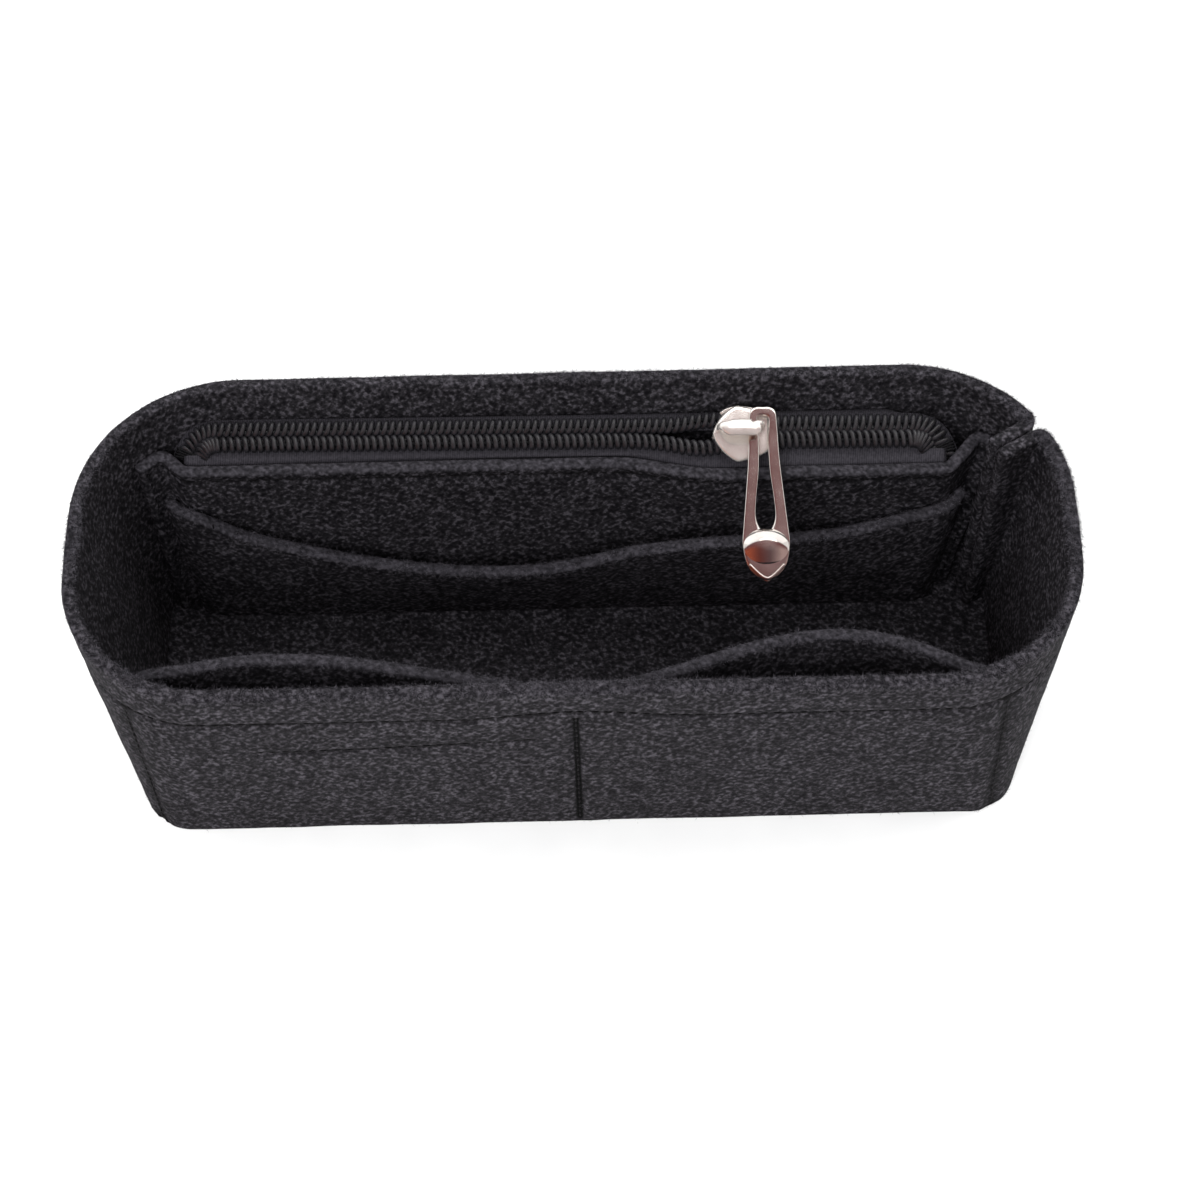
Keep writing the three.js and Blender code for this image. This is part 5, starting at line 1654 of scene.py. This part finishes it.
def rows_round_tray(tray, stitches, sink):
    """The upper line of stitches, lifted in the middle of the front, and the one round the base."""
    line, normal = row_round_tray(tray, tray.height - stitches.rim_drop, 1.5, sink)
    line[:, 2] = rim_stitch_z(tray, stitches, line[:, 0], line[:, 1])
    lifted = np.where((line[:, 1] < 0) & (np.abs(line[:, 0]) < stitches.rim_lift_half))[0]
    line[lifted, 1] = wall_y(tray, line[lifted, 0], line[lifted, 2], -1, sink)
    stitch_row("rim_topstitch", line, normal, stitches)
    line, normal = row_round_tray(tray, stitches.base_height, 1.05, sink)
    stitch_row("base_stitch", line, normal, stitches)


def front_rows(tray, pockets, stitches, sink, part):
    """The lower line, the divider and the two side seams of the front pockets."""
    leaning = (0, -1.0, 0.1)
    x = lerp(-stitches.lower_left, -stitches.lower_right, part)
    z = lower_stitch_z(tray, stitches, x)
    stitch_row("lower_topstitch", plane_points(x, wall_y(tray, x, z, -1, sink), z), leaning, stitches)
    z = lerp(stitches.foot, tray.height - stitches.rim_drop, part)
    divider = plane_points(0, wall_y(tray, 0, z, -1, sink), z)
    stitch_row("front_divider_seam", divider, leaning, stitches)
    z = lerp(stitches.foot, tray.height - stitches.rim_drop - stitches.foot, part)
    for side, node in ((-1, "front_left_seam"), (1, "front_right_seam")):
        plan = side_seam_point(tray, pockets, side, z, sink)
        outer = side_seam_point(tray, pockets, side, z, -tray.felt)
        outward = np.concatenate([outer - plan, 0 * z[:, None]], axis=-1)
        path = np.concatenate([plan, z[:, None]], axis=-1)
        stitch_row(node, path, unit(outward), stitches)


def corner_row(tray, stitches, part):
    """The row through the wall strip's two turned-in ends, on the face of one of them."""
    outward = seam_direction(tray)
    beside = np.array([outward[1], -outward[0]])
    z = lerp(stitches.foot + tray.felt, tray.height - stitches.foot, part)
    rise = z / tray.height
    radius = corner_radius(tray, rise, 1)
    centre = plane_points(half_length(tray, rise) - radius, half_depth(tray, rise) - radius)
    depth = (tray.rim_seam_depth + tray.felt / 3) / 2
    plan = centre + outward * (radius - depth)[:, None] + beside * (tray.felt + tray.gap / 2)
    path = np.concatenate([plan, z[:, None]], axis=-1)
    stitch_row("wall_corner_seam", path, (beside[0], beside[1], 0), stitches)


def slip_rows(tray, pockets, stitches, sink, part):
    """The two seams that hold the slip pocket, beside the zip pocket's corners."""
    for side, node in ((-1, "slip_left_seam"), (1, "slip_right_seam")):
        corner_inset = pockets.left_corner_top if side < 0 else pockets.right_corner_top
        edge_x = side * (half_length(tray, 1) - corner_inset)
        z = lerp(panel_foot(tray), slip_edge_z(tray, pockets, edge_x), lerp(0.05, 0.95, part))
        _, left_corner, right_corner, _ = zip_ends(tray, pockets, z)
        x = side * ((left_corner if side < 0 else right_corner) - stitches.side_inset)
        off = tray.felt * 1.5 + pockets.slip_gap + slip_bow(tray, pockets, x, z)
        y = zip_panel_y(tray, pockets, x, z) - off + sink
        stitch_row(node, plane_points(x, y, z), FRONT, stitches)


def flange_rows(tray, pockets, stitches, part):
    """The two seams that hold the zip pocket's flanges to the back wall."""
    z = lerp(panel_foot(tray) + stitches.foot, zip_top(tray, pockets) - stitches.foot, part)
    left_foot, _, _, right_foot = zip_ends(tray, pockets, z)
    for side, foot, node in ((-1, left_foot, "zip_left_seam"), (1, right_foot, "zip_right_seam")):
        x = side * (foot + pockets.flange * 0.6)
        y = wall_y(tray, x, z, 1, sewn_inset(tray) + tray.felt / 2)
        stitch_row(node, plane_points(x, y, z), FRONT, stitches)


def tape_rows(context, sink):
    """The rows that hold the tapes: one along the zip pocket's top edge, one outside on the back wall."""
    tray, pockets, zipper, stitches = settings_of(context, "tray", "pockets", "zipper", "stitches")
    part = np.linspace(0, 1, 90)
    top = zip_top(tray, pockets)
    _, left_corner, right_corner, _ = zip_ends(tray, pockets, top)
    x = lerp(pockets.corner_room - left_corner, right_corner - pockets.corner_room, part)
    z = np.full(len(x), top - stitches.tape_drop)
    y = zip_panel_y(tray, pockets, x, z) - tray.felt / 2 + sink
    stitch_row("front_tape_stitch", plane_points(x, y, z), (0, -1.0, 0.2), stitches)
    half = chain_half(context) + zipper.tape_run
    line = placed(plane_points(lerp(-half, half, part), zipper.rear_flat, 0), chain_matrix(context))
    z = line[:, 2] - (zipper.rear_turn + zipper.rear_drop) / 2
    path = plane_points(line[:, 0], wall_y(tray, line[:, 0], z, 1, sink), z)
    stitch_row("rear_tape_stitch", path, BACK, stitches)


class ORGANIZER_OT_stitches(bpy.types.Operator):
    """Every row of stitches, each sunk in its groove"""

    bl_idname = "organizer.stitches"
    bl_label = "Stitches"

    def execute(self, context):
        tray, pockets, stitches = settings_of(context, "tray", "pockets", "stitches")
        sink = stitches.groove * 0.6
        part = np.linspace(0, 1, 30)
        rows_round_tray(tray, stitches, sink)
        front_rows(tray, pockets, stitches, sink, part)
        corner_row(tray, stitches, part)
        slip_rows(tray, pockets, stitches, sink, part)
        flange_rows(tray, pockets, stitches, part)
        tape_rows(context, sink)
        return {"FINISHED"}


# Loose fibres

def fibres(roots, along, lengths, radius):
    """Thin straight hairs: at each root a three-sided cone that runs to a point along its direction."""
    side = unit(np.cross(along, np.roll(along, 1, axis=1) + [0.1, 0.2, 0.3]))
    other = np.cross(along, side)
    turn = np.array([0, 1, 2])[None, :, None] * 2 * math.pi / 3
    rings = roots[:, None] + radius * (side[:, None] * np.cos(turn) + other[:, None] * np.sin(turn))
    tips = roots + along * lengths[:, None]
    points = np.concatenate([rings, tips[:, None]], axis=1)
    corners = np.array([(0, 1, 3), (1, 2, 3), (2, 0, 3), (0, 2, 1)])
    faces = 4 * np.arange(len(roots))[:, None, None] + corners
    return points.reshape(-1, 3), faces.reshape(-1, 3).tolist()


def fuzz_piece(name, hairs, tray, seed):
    """Fuzz on one felt piece: hairs rooted at random places of its skin, most of them lying down.

    A root is a random corner of the mesh moved a little along the skin, and the hair points along the skin
    in a random direction plus a share of the normal. A set share of them is on the cut top edge. The inside
    of the back wall stays bare for the slider, and hairs at the foot turn up from the floor.
    """
    mesh = bpy.data.objects[name + "_felt"].data
    places = np.empty((len(mesh.vertices), 3), dtype=np.float32)
    normals = places.copy()
    mesh.vertices.foreach_get("co", places.ravel())
    mesh.vertices.foreach_get("normal", normals.ravel())
    bare = (places[:, 1] > tray.rim_depth / 4) & (normals[:, 1] < -0.3)
    pale = np.empty(len(mesh.vertices), dtype=np.float32)
    mesh.attributes["cut"].data.foreach_get("value", pale)
    random = np.random.default_rng(seed)
    on_edge = random.choice(np.flatnonzero(~bare & (pale > 0.1)), round(hairs * EDGE_HAIRS))
    chosen = np.append(on_edge, random.choice(np.flatnonzero(~bare), hairs - len(on_edge)))
    normal = unit(normals[chosen].astype(float))
    spread = random.normal(size=(hairs, 3))
    skin = spread - normal * (spread * normal).sum(axis=1, keepdims=True)
    roots = places[chosen] + skin * GRID_STEP / 2 - normal * tray.hair_radius * 2
    along = unit(unit(skin + 1e-6) + normal * random.uniform(0.1, 0.9, (hairs, 1)))
    lengths = tray.hair * random.uniform(0.4, 1.0, hairs)
    points, faces = fibres(roots, along, lengths, tray.hair_radius)
    points[:, 2] = np.abs(points[:, 2])
    make_piece(name + "_fuzz", points, faces, loose_wool, "tray")


class ORGANIZER_OT_fuzz(bpy.types.Operator):
    """Loose fibres on the felt's skin and edges"""

    bl_idname = "organizer.fuzz"
    bl_label = "Fuzz"

    def execute(self, context):
        tray = context.scene.organizer_tray
        fuzz_piece("wall_band", tray.wall_hairs, tray, 71)
        fuzz_piece("front_pocket_panel", tray.pocket_hairs, tray, 72)
        fuzz_piece("slip_pocket_panel", tray.pocket_hairs, tray, 73)
        return {"FINISHED"}


# Stage

def square_mesh(name, width, depth, material):
    """A flat sheet of this size about its own origin."""
    x, y = width / 2, depth / 2
    mesh = bpy.data.meshes.new(name)
    mesh.from_pydata([(-x, -y, 0), (x, -y, 0), (x, y, 0), (-x, y, 0)], [], [(0, 1, 2, 3)])
    mesh.materials.append(material)
    return mesh


def link_glow(tree, shader, tone, strength):
    """Makes a shader give light only, without any gloss of its own."""
    link_or_set(tree, shader, {
        "Emission Color": tone,
        "Emission Strength": strength,
        "Base Color": linear_colour("000000"),
        "Specular IOR Level": 0,
    })


def hood_paint(width, depth):
    """Glow of the hood: orange brown on the left, dark brown, grey on the right, dull red at the back."""
    material, tree, shader, place = new_material("hood_card_paint")
    x = add_node(tree, "SeparateXYZ", {"Vector": place}, "X")
    y = add_node(tree, "SeparateXYZ", {"Vector": place}, "Y")
    across = {"Value": x, "From Min": -width / 2, "From Max": width / 2}
    backward = {"Value": y, "From Min": depth * 0.2, "From Max": depth * 0.35}
    stops = [(stop, linear_colour(tone)) for stop, tone in HOOD_TONES]
    front_tone = add_node(tree, "ValToRGB", {"Fac": add_node(tree, "MapRange", across)}, stops=stops)
    tones = {0: add_node(tree, "MapRange", backward), 6: front_tone, 7: linear_colour(HOOD_BACK_TONE)}
    link_glow(tree, shader, add_node(tree, "Mix", tones, 2, data_type="RGBA"), 1)
    return material


def white_paint(width, depth):
    """Glow of the white card behind: the same over its whole width, a little less along its lower edge."""
    material, tree, shader, place = new_material("white_card_paint")
    y = add_node(tree, "SeparateXYZ", {"Vector": place}, "Y")
    upward = {"Value": y, "From Min": -depth / 2, "From Max": 0, "To Min": 1.1, "To Max": 1.3}
    link_glow(tree, shader, linear_colour("ffffff"), add_node(tree, "MapRange", upward))
    return material


def studio_card(name, rear, front, width, paint):
    """A card that only the metal reflects: rear and front are its edges' places in depth and height."""
    rear, front = np.array(rear), np.array(front)
    depth = float(np.linalg.norm(rear - front))
    card = add_object(name, square_mesh(name, width, depth, paint(width, depth)))
    middle = (rear + front) / 2
    card.location = (0, middle[0], middle[1])
    card.rotation_euler = (math.atan2(rear[1] - front[1], rear[0] - front[0]), 0, 0)
    card.visible_camera = False
    card.visible_diffuse = False
    card.visible_shadow = False


def soft_light(name, place, size, watts):
    """A white rectangular lamp that looks at the middle of the tray."""
    light = bpy.data.lights.new(name, "AREA")
    light.shape = "RECTANGLE"
    light.size, light.size_y = size
    light.energy = watts
    light.color = (1.0, 1.0, 1.0)
    lamp = add_object(name, light)
    away = Vector(place) - Vector(LIT_POINT)
    lamp.location = place
    lamp.rotation_euler = away.to_track_quat("Z", "Y").to_euler()
    return lamp


def camera_view(stage):
    """Place and turn of the camera: raised, rolled about its own axis and moved beside its target."""
    pitch, roll = stage.elevation, stage.roll
    back = np.array([0, -math.cos(pitch), math.sin(pitch)])
    right = np.array(RIGHT)
    up = np.cross(back, right)
    rolled_right = math.cos(roll) * right + math.sin(roll) * up
    rolled_up = -math.sin(roll) * right + math.cos(roll) * up
    target = np.array([0, stage.aim_y, stage.aim_z])
    place = target - rolled_right * stage.aim_x_share * stage.distance + back * stage.distance
    view = np.identity(4)
    view[:3] = np.stack([rolled_right, rolled_up, back, place], axis=-1)
    return Matrix(view.tolist())


class ORGANIZER_OT_stage(bpy.types.Operator):
    """The floor, the soft lights and the camera"""

    bl_idname = "organizer.stage"
    bl_label = "Stage"

    def execute(self, context):
        scene = context.scene
        stage = scene.organizer_stage
        ground = square_mesh("studio_floor", stage.floor, stage.floor, shared_material(matt_floor))
        add_object("studio_floor", ground)

        world = bpy.data.worlds.new("studio_world")
        world.use_nodes = True
        room = {"Color": linear_colour("ffffff"), "Strength": stage.room_light}
        link_or_set(world.node_tree, world.node_tree.nodes["Background"], room)
        scene.world = world

        key = soft_light("key_light", *KEY_LAMP, stage.key_power)
        key.visible_glossy = False
        soft_light("top_light", *TOP_LAMP, stage.top_power)
        # Cards that glow only in the metal's reflections: painted reflections, not lamps
        studio_card("hood_card", *HOOD_EDGES, stage.card_width, hood_paint)
        studio_card("white_card", *WHITE_EDGES, stage.card_width, white_paint)

        camera_data = bpy.data.cameras.new("camera")
        camera_data.lens = stage.lens
        camera_data.sensor_width = stage.sensor
        camera_data.clip_start = 0.01
        scene.camera = add_object("camera", camera_data)
        scene.camera.matrix_world = camera_view(stage)
        scene.view_settings.view_transform = "Standard"
        return {"FINISHED"}


OPERATORS = (
    ORGANIZER_OT_base,
    ORGANIZER_OT_wall,
    ORGANIZER_OT_front_pockets,
    ORGANIZER_OT_zip_pocket,
    ORGANIZER_OT_slip_pocket,
    ORGANIZER_OT_tapes,
    ORGANIZER_OT_coils,
    ORGANIZER_OT_tacks,
    ORGANIZER_OT_slider,
    ORGANIZER_OT_pull,
    ORGANIZER_OT_stitches,
    ORGANIZER_OT_fuzz,
    ORGANIZER_OT_stage,
)


class ORGANIZER_PT_panel(bpy.types.Panel):
    """Buttons that build the organizer piece by piece, and its settings"""

    bl_idname = "ORGANIZER_PT_panel"
    bl_label = "Felt purse organizer"
    bl_space_type = "VIEW_3D"
    bl_region_type = "UI"
    bl_category = "Organizer"

    def draw(self, context):
        for operator in OPERATORS:
            self.layout.operator(operator.bl_idname)
        for name, group in SETTINGS.items():
            for key in group.__annotations__:
                self.layout.prop(getattr(context.scene, name), key)


SETTINGS = {
    "organizer_tray": TraySettings,
    "organizer_pockets": PocketSettings,
    "organizer_zipper": ZipperSettings,
    "organizer_slider": SliderSettings,
    "organizer_stitches": StitchSettings,
    "organizer_colours": ColourSettings,
    "organizer_stage": StageSettings,
}


def register():
    for name, group in SETTINGS.items():
        bpy.utils.register_class(group)
        setattr(bpy.types.Scene, name, bpy.props.PointerProperty(type=group))
    for kind in (*OPERATORS, ORGANIZER_PT_panel):
        bpy.utils.register_class(kind)


def unregister():
    for kind in (ORGANIZER_PT_panel, *reversed(OPERATORS)):
        bpy.utils.unregister_class(kind)
    for name, group in reversed(list(SETTINGS.items())):
        delattr(bpy.types.Scene, name)
        bpy.utils.unregister_class(group)


def main():
    """Builds every piece."""
    register()
    for operator in OPERATORS:
        _, name = operator.bl_idname.split(".")
        result = getattr(bpy.ops.organizer, name)()
        if result != {"FINISHED"}:
            raise RuntimeError(f"{operator.bl_idname} gave {result}")


if __name__ == "__main__":
    main()
